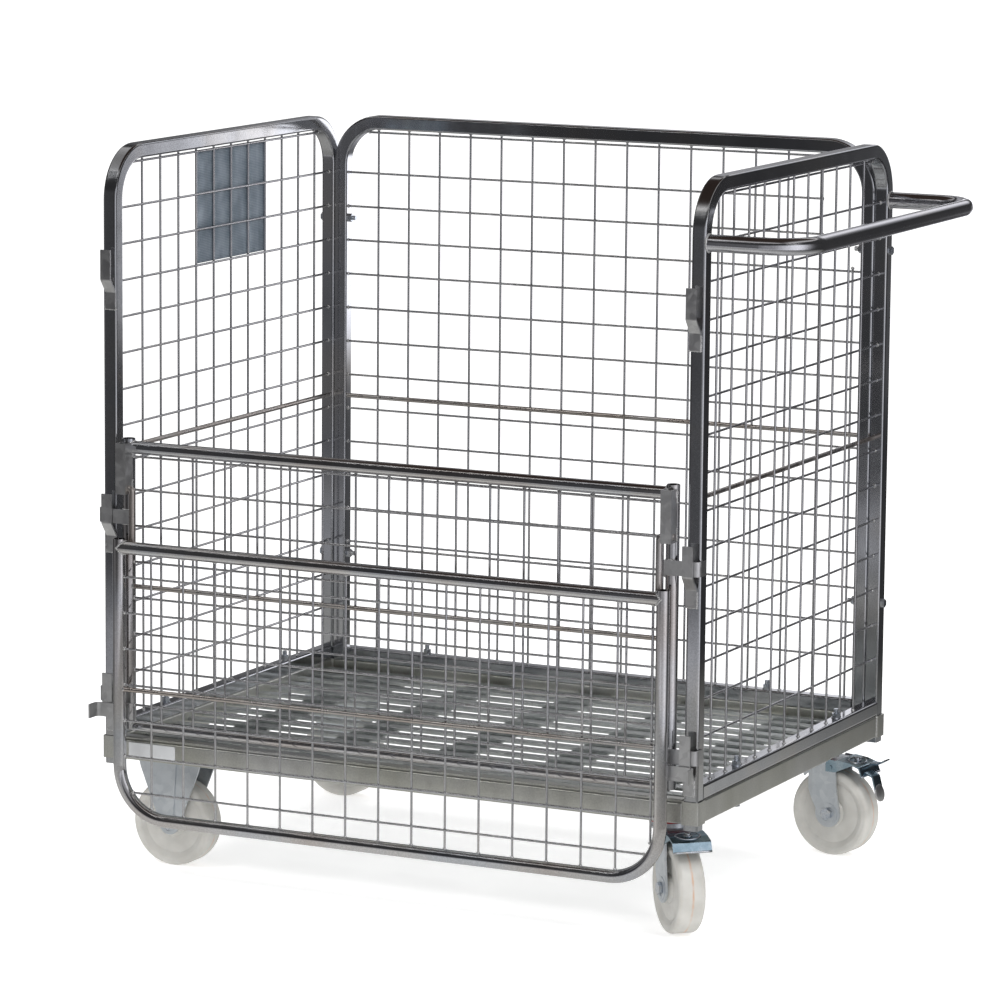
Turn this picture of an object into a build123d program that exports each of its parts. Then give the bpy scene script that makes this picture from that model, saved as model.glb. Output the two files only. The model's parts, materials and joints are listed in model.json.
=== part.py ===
from build123d import *
import os
from math import cos, radians, sin, sqrt

# Roll cage container: a wheeled base with three mesh panels, a lower front gate that lifts out
# of its keepers, and an upper flap that folds down over the gate.
# Millimetres. X runs from the fixed-caster end (-X) to the handle end (+X), Y from the gate
# (front, -Y) to the back panel, Z up from the floor. The cage's own centre is the middle of its
# four corner posts; the row's origin is under the centre of the whole bounding box.

# ---- overall sizes ----------------------------------------------------------------------
WIDTH = 1100.0            # over the corner posts, along X
DEPTH = 800.0             # over the corner posts, along Y
HEIGHT = 1235.0           # floor to the top of the panels
BASE_BOTTOM = 195.0       # underside of the base rails, which is the casters' height
BASE_HEIGHT = 38.0
PITCH = 61.5              # mesh spacing, both ways
WIRE_R = 2.0              # mesh wire radius

# ---- box tube of the three panels -------------------------------------------------------
TUBE = 25.0
TUBE_WALL = 1.5
TUBE_EDGE_R = 4.0
PANEL_BEND = 90.0         # outer radius of the bent top corners
VENT_R = 3.0              # drain holes in the closed bottom rails

# ---- levels -----------------------------------------------------------------------------
BASE_TOP = BASE_BOTTOM + BASE_HEIGHT
PANEL_RAIL_TOP = BASE_TOP + TUBE
TOP_RAIL_BOTTOM = HEIGHT - TUBE
FIRST_ROW = 1130.0        # highest full mesh row of the panels
ROWS = 14
EDGE_WIRE = 1204.0        # extra wire under the top rail
PANEL_MID_ROD = 723.0
ROD_R = 4.0               # mid rods of the panels, gate and flap

POST_X = (WIDTH - TUBE) / 2
POST_Y = (DEPTH - TUBE) / 2
INNER_X = WIDTH / 2 - TUBE            # inner face of the side panels' posts
INNER_Y = DEPTH / 2 - TUBE
FRONT_FACE = -DEPTH / 2
BACK_POST_X = POST_X - TUBE           # back panel's posts stand beside the side panels' posts
BACK_INNER_X = BACK_POST_X - TUBE / 2
SIDE_WIRES = 11
SIDE_GAP = 87.3                       # post face to first upright wire, wide end
BACK_WIRES = 16
BACK_FIRST_X = -441.0
SHORT_WIRE_ROWS = 2                   # the last upright wire stops below the second row
PANEL_LEVELS = [EDGE_WIRE] + [FIRST_ROW - PITCH * row for row in range(ROWS)]
INNER_BEND = PANEL_BEND - TUBE
CORNER_BOLT_Z = (1047.0, 431.0)
SIDE_FOOT_BOLT = 215.0                # from the panel's middle
BACK_FOOT_BOLT = 336.0
VENT_FROM_POST = 30.0

# ---- base -------------------------------------------------------------------------------
RAIL_WALL = 2.0
FRONT_RAIL_HEIGHT = 34.0
SLEEVE = 31.0             # corner sleeve, outside
SLEEVE_BORE = 25.6
POST_STUB = 10.0          # post end below the sleeve
SLAT_WIDTH = 20.0
SLAT_PITCH = 50.0
SLATS = 15
SLAT_TOP = 221.0
SLAT_THICK = 6.0
BAND_WIDTH = 65.0
BAND_THICK = 3.0
BAND_PITCH = 200.0
MOUNT_PLATE = 4.0

# ---- gate and flap ----------------------------------------------------------------------
ROUND_R = 11.0            # round tube of the gate and flap
ROUND_WALL = 1.5
GATE_POST_X = 500.5
GATE_Y = -401.0
GATE_BOTTOM = 251.0
GATE_TOP = 747.0
GATE_TOP_RAIL = 732.0
GATE_LOW_RAIL = 254.7
GATE_LOW_R = 8.0
GATE_EDGE_WIRE = 719.0
GATE_FIRST_ROW = 660.7
GATE_ROWS = 7
GATE_MID_ROD = 496.0
GATE_FIRST_X = -440.0
GATE_CLEAR = GATE_POST_X - ROUND_R    # inner edge of the gate's and flap's posts
PIVOT_Y = -418.0
PIVOT_Z = 664.5
PIN_R = 5.5
FLAP_Y = PIVOT_Y - PIN_R - ROUND_R    # hanging plane of the flap
FLAP_TOP = 581.0
FLAP_TOP_RAIL = 566.3
FLAP_LOW_RAIL = 104.5
FLAP_BEND = 89.0          # centreline radius of the flap's bent corners
FLAP_FIRST_ROW = 148.0
FLAP_ROWS = 7
FLAP_MID_ROD = 325.0
ROD_BEND = 6.2            # hinge rod's bend, centreline
HINGE_ROD_X = 484.7

# ---- keepers and hooks ------------------------------------------------------------------
KEEPER_TOPS = (1064.0, 651.5, 344.5)
KEEPER_HEIGHT = 101.0
KEEPER_WIDTH = 19.0
KEEPER_THICK = 3.0
POCKET = 16.5             # post face to the keeper's inner face
HOOK_THICK = 3.0
HOOK_HEIGHT = 24.0
HOOK_REST = 49.0          # hook's lower edge below the keeper's top
HOOK_BEND = 9.0
HOOK_OUT_X = 554.0        # outer face of the hook's bent end
HOOK_IN_X = 491.5
HOOK_WRAP = 26.0
FLAP_HOOK_Z = 282.5       # centre of the flap's hooks while it hangs

# ---- handle -----------------------------------------------------------------------------
HANDLE_R = 14.0
HANDLE_WALL = 2.0
HANDLE_Z = 1134.0
HANDLE_BAR_X = 708.0
HANDLE_BEND = 68.0

# ---- casters ----------------------------------------------------------------------------
WHEEL_R = 75.0
WHEEL_WIDTH = 45.0
CASTER_X = 462.0
CASTER_Y = 305.0
TRAIL = 45.0
FORK_GAP = 53.0           # between the fork's legs
FORK_THICK = 3.5
AXLE_R = 6.0
BUSH_R = 10.0
PLATE_LENGTH = 135.0
PLATE_WIDTH = 110.0
PLATE_THICK = 4.0
BOLT_SPAN_X = 105.0
BOLT_SPAN_Y = 80.0
BOLT_R = 4.0
NUT_FLATS = 13.0
FRONT_TRAIL_ANGLE = -47.5  # where the front swivel caster trails, from +X
REAR_TRAIL_ANGLE = -7.0

# ---- smaller dimensions -----------------------------------------------------------------
BOLT_PLAY = 0.3
NUT_PLAY = 0.05
PIN_PLAY = 0.08
HEAD_HEIGHT = 5.3
NUT_HEIGHT = 6.5
WASHER_R = 8.0
WASHER_THICK = 1.6
CORNER_BOLT_LENGTH = 64.0
FOOT_BOLT_LENGTH = 79.0
CASTER_BOLT_LENGTH = 20.0
WIRE_TAIL = 5.0
RAIL_EDGE_R = 3.0
SILL_WIDTH = 21.0
SILL_LIP = 3.0
SILL_NECK = 1.5
SILL_HEIGHT = 4.5
BANDS = 5
MOUNT_PLATE_SIDE = 150.0
CASTER_PLACES = [(x, y) for x in (-CASTER_X, CASTER_X) for y in (-CASTER_Y, CASTER_Y)]
LABEL_X = -458.0
LABEL_Z = 212.5
LABEL_WIDTH = 90.0
LABEL_HEIGHT = 26.0
LABEL_THICK = 0.8
INFO_MIDDLE_Y = 23.0
INFO_MIDDLE_Z = 1107.0
INFO_WIDTH = 246.0
INFO_HEIGHT = 196.0
INFO_THICK = 1.2
INFO_CORNER = 3.0
KEEPER_JOGGLE_LOW = 72.0
KEEPER_JOGGLE_HIGH = 50.0
KEEPER_BEND = 5.0
BRACKET_WIDTH = 19.0
BRACKET_THICK = 3.0
BRACKET_SPARE = 3.5       # between the hinge rod and the bracket's web
BRACKET_LOW = 655.0
BRACKET_HIGH = 741.0
PIN_END = 2.0             # hinge rod past the bracket
FIXED_TOP_HALF = 62.0
FIXED_TOP_SLOPE = (6.0, 22.0)         # how far the leg's edge comes in, and over what height
LEG_END_R = 19.0
SWIVEL_END_R = 24.0
LEG_BACK_X = 70.0
RIB_OUT = 2.0
RIB_HALF = 9.0
RIB_ABOVE_AXLE = 18.0
RIB_FLARE = 6.0
HUB_RING = (13.0, 19.0)               # radii of the pressed ring round the axle
HUB_RING_OUT = 1.0
HUB_OUT = 2.5
HUB_R = 19.0
DISH = 5.0
HUB_SLOPE = 6.0
TREAD_R = 7.0
RIM_DEPTHS = (22.0, 15.0, 12.0)       # below the tread: the dish's edge and the rim's two edges
RIM_STEP = 1.0
AXLE_HEAD = 7.0
AXLE_SPARE = 3.0
AXLE_FLATS = 18.0
AXLE_NUT = 9.0
RACE_R = 36.0
RACE_LOW = 181.0
KINGPIN_R = 8.0
KINGPIN_LOW = 164.0
KINGPIN_HEAD_R = 13.0
KINGPIN_HEAD = 5.0
SEAL_LOW = 178.5
SEAL_R = 40.0
SEAL_HEIGHT = 6.0
SEAL_EDGE_R = 1.5
CROWN_LOW = 166.0
CROWN_TOP = 178.0
CROWN_R = 34.0
FORK_BACK_X = 60.0
FORK_NOSE_X = -18.0
CHEEK_X = 14.0
NOSE_HALF = 15.0
NOSE_SLANT = 1.5
NOSE_DROP = 14.0
SHOULDER = 8.0                        # straight edge of the leg above the axle
BACK_RISE = 50.0
CUT_SPARE = 1.0
CROWN_STEP = 2.0
CROWN_TAPER = 12.0
WHEEL_CLEAR_R = 4.0
WHEEL_CLEAR_SIDE = 5.0
PEDAL_PIN_X = 50.0
PEDAL_PIN_Z = 158.0
PEDAL_PIN_R = 4.0
PEDAL_WIDTH = 66.0
PEDAL_THICK = 2.5
PEDAL_PLAY = 0.6                      # between the pedal's cheeks and the fork
PEDAL_PIN_END = 1.5
PEDAL_BEND = 4.0
PEDAL_PLATE = ((63.0, 170.7), (70.0, 170.2), (89.0, 167.9))
PEDAL_LIP = ((88.0, 168.0), (106.0, 163.0), (112.0, 148.0))
PEDAL_CHEEK = ((41.0, 150.0), (59.0, 150.0), (92.0, 165.0), (90.0, 168.8), (45.0, 172.0), (41.0, 164.0))
RELEASE_TAB = ((104.0, 163.5), (120.0, 164.0), (133.0, 172.0))
RELEASE_TAB_BEND = 5.0
RELEASE_TAB_EDGE = 4.0
RELEASE_TAB_WIDTH = 20.0
RELEASE_LEVER = ((110.0, 153.0), (126.0, 148.0), (134.0, 118.0))
RELEASE_LEVER_BEND = 6.0
RELEASE_LEVER_EDGE = -6.0
RELEASE_LEVER_WIDTH = 26.0

# ---- the row's origin -------------------------------------------------------------------
# The bounding box runs from the left corner bolts to the handle bar, and from the flap's hook
# ends to the rear sleeves.
BOX_X = (-WIDTH / 2 - HEAD_HEIGHT, HANDLE_BAR_X + HANDLE_R)
FLAP_HOOK_FRONT = FLAP_Y + ROUND_R + HOOK_THICK / 2 - HOOK_WRAP
BOX_Y = (FLAP_HOOK_FRONT, POST_Y + SLEEVE / 2)
TO_ORIGIN = Pos(-sum(BOX_X) / 2, -sum(BOX_Y) / 2, 0)

os.makedirs("parts", exist_ok=True)


def save(piece, label):
    """Move a finished piece from the cage's centre to the row's frame and write it."""
    placed = TO_ORIGIN * piece
    placed.label = label
    export_step(placed, f"parts/{label}.step")


def turned(angle, piece):
    """The same piece, turned about the cage's upright centre line."""
    return Rot(0, 0, angle) * piece


def mirrored(piece):
    """The same piece on the other side of the cage's middle plane."""
    return mirror(piece, about=Plane.YZ)


# ---- shared shapes ----------------------------------------------------------------------
FRONT_LOOK = Plane(origin=(0, 0, 0), x_dir=(1, 0, 0), z_dir=(0, -1, 0))
LEFT_PANEL = Plane(origin=(-POST_X, 0, 0), x_dir=(0, 1, 0), z_dir=(1, 0, 0))
BACK_PANEL = FRONT_LOOK.offset(-POST_Y)
GATE = FRONT_LOOK.offset(-GATE_Y)
FLAP = FRONT_LOOK.offset(-FLAP_Y)


def box_tube_section():
    """Rounded square tube, drawn into the sketch that is open."""
    bore = TUBE - 2 * TUBE_WALL
    RectangleRounded(TUBE, TUBE, TUBE_EDGE_R)
    RectangleRounded(bore, bore, TUBE_EDGE_R - TUBE_WALL, mode=Mode.SUBTRACT)


def straight_rod(start, direction, length, radius):
    """Plain round rod."""
    with BuildPart() as rod:
        with BuildSketch(Plane(origin=start, z_dir=direction)):
            Circle(radius)
        extrude(amount=length)
    return rod.part


def welded_mesh(panel, uprights, rows):
    """Round wires in two layers that touch where they cross.

    uprights holds (x, low, high) and rows holds (level, left, right), in the panel plane's own
    coordinates. The upright wires lie behind the plane and the rows before it."""
    with BuildPart() as mesh:
        for x, low, high in uprights:
            foot = panel.from_local_coords(Vector(x, low, -WIRE_R))
            with BuildSketch(Plane(origin=foot, z_dir=(0, 0, 1))):
                Circle(WIRE_R)
            extrude(amount=high - low)
        for level, left, right in rows:
            end = panel.from_local_coords(Vector(left, level, WIRE_R))
            with BuildSketch(Plane(origin=end, z_dir=panel.x_dir)):
                Circle(WIRE_R)
            extrude(amount=right - left)
    return mesh.part


def bent_strap(bends, radius, outline_plane, width):
    """Flat bar bent along a line drawn in outline_plane, and `width` wide across it."""
    with BuildPart() as strap:
        with BuildSketch(outline_plane):
            with BuildLine():
                FilletPolyline(*bends, radius=radius)
            trace(line_width=HOOK_THICK)
        extrude(amount=width)
    return strap.part


# ---- panels -----------------------------------------------------------------------------
def panel_frame(panel, half_span, foot, drilled_posts, foot_bolt):
    """Inverted U of bent box tube with a straight bottom rail between its posts."""
    crown = HEIGHT - TUBE / 2
    inner = half_span - TUBE / 2
    rail_middle = BASE_TOP + TUBE / 2
    with BuildPart() as frame:
        with BuildLine(panel) as run:
            FilletPolyline(
                (-half_span, foot),
                (-half_span, crown),
                (half_span, crown),
                (half_span, foot),
                radius=PANEL_BEND - TUBE / 2,
            )
        with BuildSketch(Plane(origin=run.line @ 0, x_dir=panel.z_dir, z_dir=run.line % 0)):
            box_tube_section()
        sweep(path=run.line)
        rail_end = panel.from_local_coords(Vector(-inner, rail_middle, 0))
        with BuildSketch(Plane(origin=rail_end, x_dir=panel.z_dir, z_dir=panel.x_dir)):
            box_tube_section()
        extrude(amount=2 * inner)
        for side in (-1, 1):
            with Locations(panel.from_local_coords(Vector(side * (inner - VENT_FROM_POST), BASE_TOP, 0))):
                Cylinder(VENT_R, TUBE, mode=Mode.SUBTRACT)
            with Locations(panel.from_local_coords(Vector(side * foot_bolt, rail_middle, 0))):
                Cylinder(BOLT_R + BOLT_PLAY, 2 * TUBE, mode=Mode.SUBTRACT)
        for post in drilled_posts:
            for level in CORNER_BOLT_Z:
                with Locations(panel.from_local_coords(Vector(post, level, 0))):
                    Cylinder(BOLT_R + BOLT_PLAY, 2 * TUBE, rotation=(0, 90, 0), mode=Mode.SUBTRACT)
    return frame.part


def top_above(offset, inner):
    """Height of the frame's inner edge, `offset` across from the panel's middle."""
    into_bend = max(0.0, abs(offset) + WIRE_R - (inner - INNER_BEND))
    return TOP_RAIL_BOTTOM - INNER_BEND + sqrt(INNER_BEND**2 - into_bend**2)


def reach_at(level, inner):
    """How far across from the middle the frame's inner edge is at a level."""
    into_bend = max(0.0, level + WIRE_R - (TOP_RAIL_BOTTOM - INNER_BEND))
    return inner - INNER_BEND + sqrt(INNER_BEND**2 - into_bend**2)


def side_panel(side, turn):
    """Frame, mesh and mid rod of one side panel: the left one, or the same turned half round."""
    rear = 1 if turn == 0 else -1
    frame = panel_frame(LEFT_PANEL, POST_Y, BASE_BOTTOM - POST_STUB, [rear * POST_Y], SIDE_FOOT_BOLT)
    uprights = []
    for i in range(SIDE_WIRES):
        y = -INNER_Y + SIDE_GAP + PITCH * i
        uprights.append((y, PANEL_RAIL_TOP, top_above(y, INNER_Y)))
    rows = [(z, -reach_at(z, INNER_Y), reach_at(z, INNER_Y)) for z in PANEL_LEVELS]
    mesh = welded_mesh(LEFT_PANEL, uprights, rows)
    rod = straight_rod((ROD_R - POST_X, -INNER_Y, PANEL_MID_ROD), (0, 1, 0), 2 * INNER_Y, ROD_R)
    save(turned(turn, frame), f"{side}_panel_frame")
    save(turned(turn, mesh), f"{side}_panel_mesh")
    save(turned(turn, rod), f"{side}_panel_mid_rod")


def back_panel():
    """The back panel stands between the side panels' rear posts."""
    frame = panel_frame(BACK_PANEL, BACK_POST_X, BASE_TOP, [-BACK_POST_X, BACK_POST_X], BACK_FOOT_BOLT)
    last = BACK_WIRES - 1
    uprights = []
    for i in range(last):
        x = BACK_FIRST_X + PITCH * i
        uprights.append((x, PANEL_RAIL_TOP, top_above(x, BACK_INNER_X)))
    short_top = FIRST_ROW - PITCH * SHORT_WIRE_ROWS + WIRE_TAIL
    uprights.append((BACK_FIRST_X + PITCH * last, PANEL_RAIL_TOP, short_top))
    rows = []
    for z in PANEL_LEVELS:
        reach = reach_at(z, BACK_INNER_X)
        right = reach if z < short_top else BACK_FIRST_X + PITCH * (last - 1) + WIRE_TAIL
        rows.append((z, -reach, right))
    mesh = welded_mesh(BACK_PANEL, uprights, rows)
    rod_start = (-BACK_INNER_X, POST_Y - ROD_R, PANEL_MID_ROD)
    rod = straight_rod(rod_start, (1, 0, 0), 2 * BACK_INNER_X, ROD_R)
    save(frame, "back_panel_frame")
    save(mesh, "back_panel_mesh")
    save(rod, "back_panel_mid_rod")


def info_plate():
    """Document plate on the outer side of the left panel's mesh."""
    with BuildPart() as plate:
        with BuildSketch(LEFT_PANEL.offset(-2 * WIRE_R)):
            with Locations((INFO_MIDDLE_Y, INFO_MIDDLE_Z)):
                RectangleRounded(INFO_WIDTH, INFO_HEIGHT, INFO_CORNER)
        extrude(amount=-INFO_THICK)
    save(plate.part, "info_plate")


def push_handle():
    """U of round tube welded to the outer faces of the right panel's posts."""
    with BuildPart() as handle:
        with BuildLine(Plane.XY.offset(HANDLE_Z)) as run:
            FilletPolyline(
                (WIDTH / 2, -POST_Y),
                (HANDLE_BAR_X, -POST_Y),
                (HANDLE_BAR_X, POST_Y),
                (WIDTH / 2, POST_Y),
                radius=HANDLE_BEND,
            )
        with BuildSketch(Plane(origin=run.line @ 0, z_dir=run.line % 0)):
            Circle(HANDLE_R)
            Circle(HANDLE_R - HANDLE_WALL, mode=Mode.SUBTRACT)
        sweep(path=run.line)
    save(handle.part, "push_handle")


# ---- base -------------------------------------------------------------------------------
def rail_section(height):
    """Rectangular rail tube, as wide as the panels' tube, drawn into the open sketch."""
    RectangleRounded(TUBE, height, RAIL_EDGE_R)
    bore = (TUBE - 2 * RAIL_WALL, height - 2 * RAIL_WALL)
    RectangleRounded(*bore, RAIL_EDGE_R - RAIL_WALL, mode=Mode.SUBTRACT)


def base_rails():
    """Four rails between the corner sleeves; the front one carries a sill strip."""
    side_length = 2 * (POST_Y - SLEEVE / 2)
    end_length = 2 * (POST_X - SLEEVE / 2)
    middle = BASE_BOTTOM + BASE_HEIGHT / 2
    for name, side in (("left", -1), ("right", 1)):
        with BuildPart() as rail:
            with BuildSketch(Plane(origin=(side * POST_X, -side_length / 2, middle), z_dir=(0, 1, 0))):
                with Locations(Rot(0, 0, 90)):
                    rail_section(BASE_HEIGHT)
            extrude(amount=side_length)
            for y in (-SIDE_FOOT_BOLT, SIDE_FOOT_BOLT):
                with Locations((side * POST_X, y, middle)):
                    Cylinder(BOLT_R + BOLT_PLAY, 2 * BASE_HEIGHT, mode=Mode.SUBTRACT)
        save(rail.part, f"base_rail_{name}")
    with BuildPart() as rear:
        with BuildSketch(Plane(origin=(-end_length / 2, POST_Y, middle), x_dir=(0, 1, 0), z_dir=(1, 0, 0))):
            rail_section(BASE_HEIGHT)
        extrude(amount=end_length)
        for x in (-BACK_FOOT_BOLT, BACK_FOOT_BOLT):
            with Locations((x, POST_Y, middle)):
                Cylinder(BOLT_R + BOLT_PLAY, 2 * BASE_HEIGHT, mode=Mode.SUBTRACT)
    save(rear.part, "base_rail_rear")
    front_middle = BASE_BOTTOM + FRONT_RAIL_HEIGHT / 2
    with BuildPart() as front:
        front_end = (-end_length / 2, -POST_Y, front_middle)
        with BuildSketch(Plane(origin=front_end, x_dir=(0, 1, 0), z_dir=(1, 0, 0))):
            rail_section(FRONT_RAIL_HEIGHT)
            with Locations((0, FRONT_RAIL_HEIGHT / 2 + SILL_NECK / 2)):
                Rectangle(SILL_WIDTH - 2 * SILL_LIP, SILL_NECK + 1)
            with Locations((0, FRONT_RAIL_HEIGHT / 2 + SILL_NECK + SILL_HEIGHT / 2)):
                RectangleRounded(SILL_WIDTH, SILL_HEIGHT, SILL_HEIGHT / 2 - 0.2)
        extrude(amount=end_length)
    save(front.part, "base_rail_front")


def deck():
    """Slats across the base, welded on flat bands that run front to back."""
    with BuildPart() as slats:
        for i in range(SLATS):
            y = SLAT_PITCH * (i - (SLATS - 1) / 2)
            slat_middle = SLAT_TOP - SLAT_THICK / 2
            with BuildSketch(Plane(origin=(-INNER_X, y, slat_middle), x_dir=(0, 1, 0), z_dir=(1, 0, 0))):
                RectangleRounded(SLAT_WIDTH, SLAT_THICK, 1.5)
            extrude(amount=2 * INNER_X)
    save(slats.part, "deck_slats")
    with BuildPart() as bands:
        with BuildSketch(Plane.XY.offset(SLAT_TOP - SLAT_THICK - BAND_THICK)):
            with GridLocations(BAND_PITCH, 0, BANDS, 1):
                Rectangle(BAND_WIDTH, 2 * INNER_Y)
        extrude(amount=BAND_THICK)
    save(bands.part, "deck_bands")


def corner_sleeves():
    """Square sleeves that the side panels' posts plug into."""
    with BuildPart() as sleeves:
        with BuildSketch(Plane.XY.offset(BASE_BOTTOM)):
            with GridLocations(2 * POST_X, 2 * POST_Y, 2, 2):
                RectangleRounded(SLEEVE, SLEEVE, 4)
                RectangleRounded(SLEEVE_BORE, SLEEVE_BORE, 3, mode=Mode.SUBTRACT)
        extrude(amount=BASE_HEIGHT)
    save(sleeves.part, "corner_sleeves")


def caster_plates():
    """Four welded plates under the base corners that the casters bolt to."""
    plate_x = INNER_X - MOUNT_PLATE_SIDE / 2
    plate_y = INNER_Y - MOUNT_PLATE_SIDE / 2
    with BuildPart() as plates:
        with BuildSketch(Plane.XY.offset(BASE_BOTTOM)):
            with GridLocations(2 * plate_x, 2 * plate_y, 2, 2):
                Rectangle(MOUNT_PLATE_SIDE, MOUNT_PLATE_SIDE)
            with GridLocations(2 * POST_X, 2 * POST_Y, 2, 2):
                Rectangle(SLEEVE, SLEEVE, mode=Mode.SUBTRACT)
            for x, y in CASTER_PLACES:
                with Locations((x, y)):
                    with GridLocations(BOLT_SPAN_X, BOLT_SPAN_Y, 2, 2):
                        Circle(BOLT_R + BOLT_PLAY, mode=Mode.SUBTRACT)
        extrude(amount=MOUNT_PLATE)
    save(plates.part, "caster_mount_plates")


def label_plate():
    """Blank plate on the left end of the front rail."""
    with BuildPart() as plate:
        with BuildSketch(Plane(origin=(LABEL_X, FRONT_FACE, LABEL_Z), x_dir=(1, 0, 0), z_dir=(0, -1, 0))):
            RectangleRounded(LABEL_WIDTH, LABEL_HEIGHT, 2)
        extrude(amount=LABEL_THICK)
    save(plate.part, "label_plate")


# ---- fasteners --------------------------------------------------------------------------
def hexagon(flats):
    """Hexagon across flats, drawn into the open sketch."""
    RegularPolygon(radius=flats / sqrt(3), side_count=6)


def hex_bolt(seat, length, flats=NUT_FLATS, radius=BOLT_R, head=HEAD_HEIGHT):
    """Hex bolt: its head stands on `seat` and its shank runs the other way."""
    with BuildPart() as bolt:
        with BuildSketch(seat):
            hexagon(flats)
        extrude(amount=head)
        with BuildSketch(seat):
            Circle(radius)
        extrude(amount=-length)
    return bolt.part


def hex_nut(seat, radius=BOLT_R + NUT_PLAY):
    """Hex nut standing on `seat`."""
    with BuildPart() as nut:
        with BuildSketch(seat):
            hexagon(NUT_FLATS)
            Circle(radius, mode=Mode.SUBTRACT)
        extrude(amount=NUT_HEIGHT)
    return nut.part


def washer(seat):
    """Flat washer lying on `seat`."""
    with BuildPart() as ring:
        with BuildSketch(seat):
            Circle(WASHER_R)
            Circle(BOLT_R + NUT_PLAY, mode=Mode.SUBTRACT)
        extrude(amount=WASHER_THICK)
    return ring.part


def panel_fasteners():
    """Corner bolts through both posts, and foot bolts through the bottom rails and the base."""
    foot_places = [(x, y) for x in (-POST_X, POST_X) for y in (-SIDE_FOOT_BOLT, SIDE_FOOT_BOLT)]
    foot_places += [(x, POST_Y) for x in (-BACK_FOOT_BOLT, BACK_FOOT_BOLT)]
    with BuildPart() as bolts:
        for side in (-1, 1):
            for level in CORNER_BOLT_Z:
                seat = Plane(origin=(side * WIDTH / 2, POST_Y, level), z_dir=(side, 0, 0))
                add(hex_bolt(seat, CORNER_BOLT_LENGTH))
    save(bolts.part, "corner_bolts")
    with BuildPart() as nuts:
        for side in (-1, 1):
            for level in CORNER_BOLT_Z:
                add(hex_nut(Plane(origin=(side * BACK_INNER_X, POST_Y, level), z_dir=(-side, 0, 0))))
    save(nuts.part, "corner_nuts")
    with BuildPart() as foot_bolts:
        for x, y in foot_places:
            add(hex_bolt(Plane(origin=(x, y, BASE_BOTTOM), z_dir=(0, 0, -1)), FOOT_BOLT_LENGTH))
    save(foot_bolts.part, "foot_bolts")
    with BuildPart() as foot_nuts:
        for x, y in foot_places:
            add(washer(Plane(origin=(x, y, PANEL_RAIL_TOP))))
            add(hex_nut(Plane(origin=(x, y, PANEL_RAIL_TOP + WASHER_THICK))))
    save(foot_nuts.part, "foot_nuts")


def caster_fasteners():
    """Bolts from below and nuts above that hold the four caster plates."""
    with BuildPart() as bolts:
        for x, y in CASTER_PLACES:
            for dx in (-BOLT_SPAN_X / 2, BOLT_SPAN_X / 2):
                for dy in (-BOLT_SPAN_Y / 2, BOLT_SPAN_Y / 2):
                    below = Plane(origin=(x + dx, y + dy, BASE_BOTTOM - PLATE_THICK), z_dir=(0, 0, -1))
                    above = Plane(origin=(x + dx, y + dy, BASE_BOTTOM + MOUNT_PLATE))
                    add(hex_bolt(below, CASTER_BOLT_LENGTH))
                    add(hex_nut(above, radius=BOLT_R - NUT_PLAY))
    save(bolts.part, "caster_bolts")


# ---- gate -------------------------------------------------------------------------------
def gate_frame():
    """Welded frame of round tube, open at the posts' ends, with a thinner bottom rail."""
    with BuildPart() as frame:
        for radius, low_radius, mode in (
            (ROUND_R, GATE_LOW_R, Mode.ADD),
            (ROUND_R - ROUND_WALL, GATE_LOW_R - ROUND_WALL, Mode.SUBTRACT),
        ):
            with BuildSketch(Plane.XY.offset(GATE_BOTTOM)):
                with Locations((-GATE_POST_X, GATE_Y), (GATE_POST_X, GATE_Y)):
                    Circle(radius)
            extrude(amount=GATE_TOP - GATE_BOTTOM, mode=mode)
            for level, rail_radius in ((GATE_TOP_RAIL, radius), (GATE_LOW_RAIL, low_radius)):
                with BuildSketch(Plane(origin=(-GATE_POST_X, GATE_Y, level), z_dir=(1, 0, 0))):
                    Circle(rail_radius)
                extrude(amount=2 * GATE_POST_X, mode=mode)
    save(frame.part, "gate_frame")


def gate_mesh():
    """Mesh of the lower gate and the thicker rod across it."""
    low = GATE_LOW_RAIL + GATE_LOW_R
    high = GATE_TOP_RAIL - ROUND_R
    uprights = [(GATE_FIRST_X + PITCH * i, low, high) for i in range(BACK_WIRES)]
    levels = [GATE_EDGE_WIRE - WIRE_R] + [GATE_FIRST_ROW - PITCH * row for row in range(GATE_ROWS)]
    rows = [(z, -GATE_CLEAR, GATE_CLEAR) for z in levels]
    save(welded_mesh(GATE, uprights, rows), "gate_mesh")
    rod = straight_rod((-GATE_CLEAR, GATE_Y - ROD_R, GATE_MID_ROD), (1, 0, 0), 2 * GATE_CLEAR, ROD_R)
    save(rod, "gate_mid_rod")


def gate_hooks():
    """Four hooks welded across the gate's posts, bent back round the cage's corner posts."""
    plate_y = GATE_Y - ROUND_R - HOOK_THICK / 2
    outer = HOOK_OUT_X - HOOK_THICK / 2
    bends = ((HOOK_IN_X, plate_y), (outer, plate_y), (outer, plate_y + HOOK_WRAP))
    with BuildPart() as hooks:
        for top in KEEPER_TOPS[1:]:
            right = bent_strap(bends, HOOK_BEND, Plane.XY.offset(top - HOOK_REST), HOOK_HEIGHT)
            add(right)
            add(mirrored(right))
    save(hooks.part, "gate_hooks")


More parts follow.
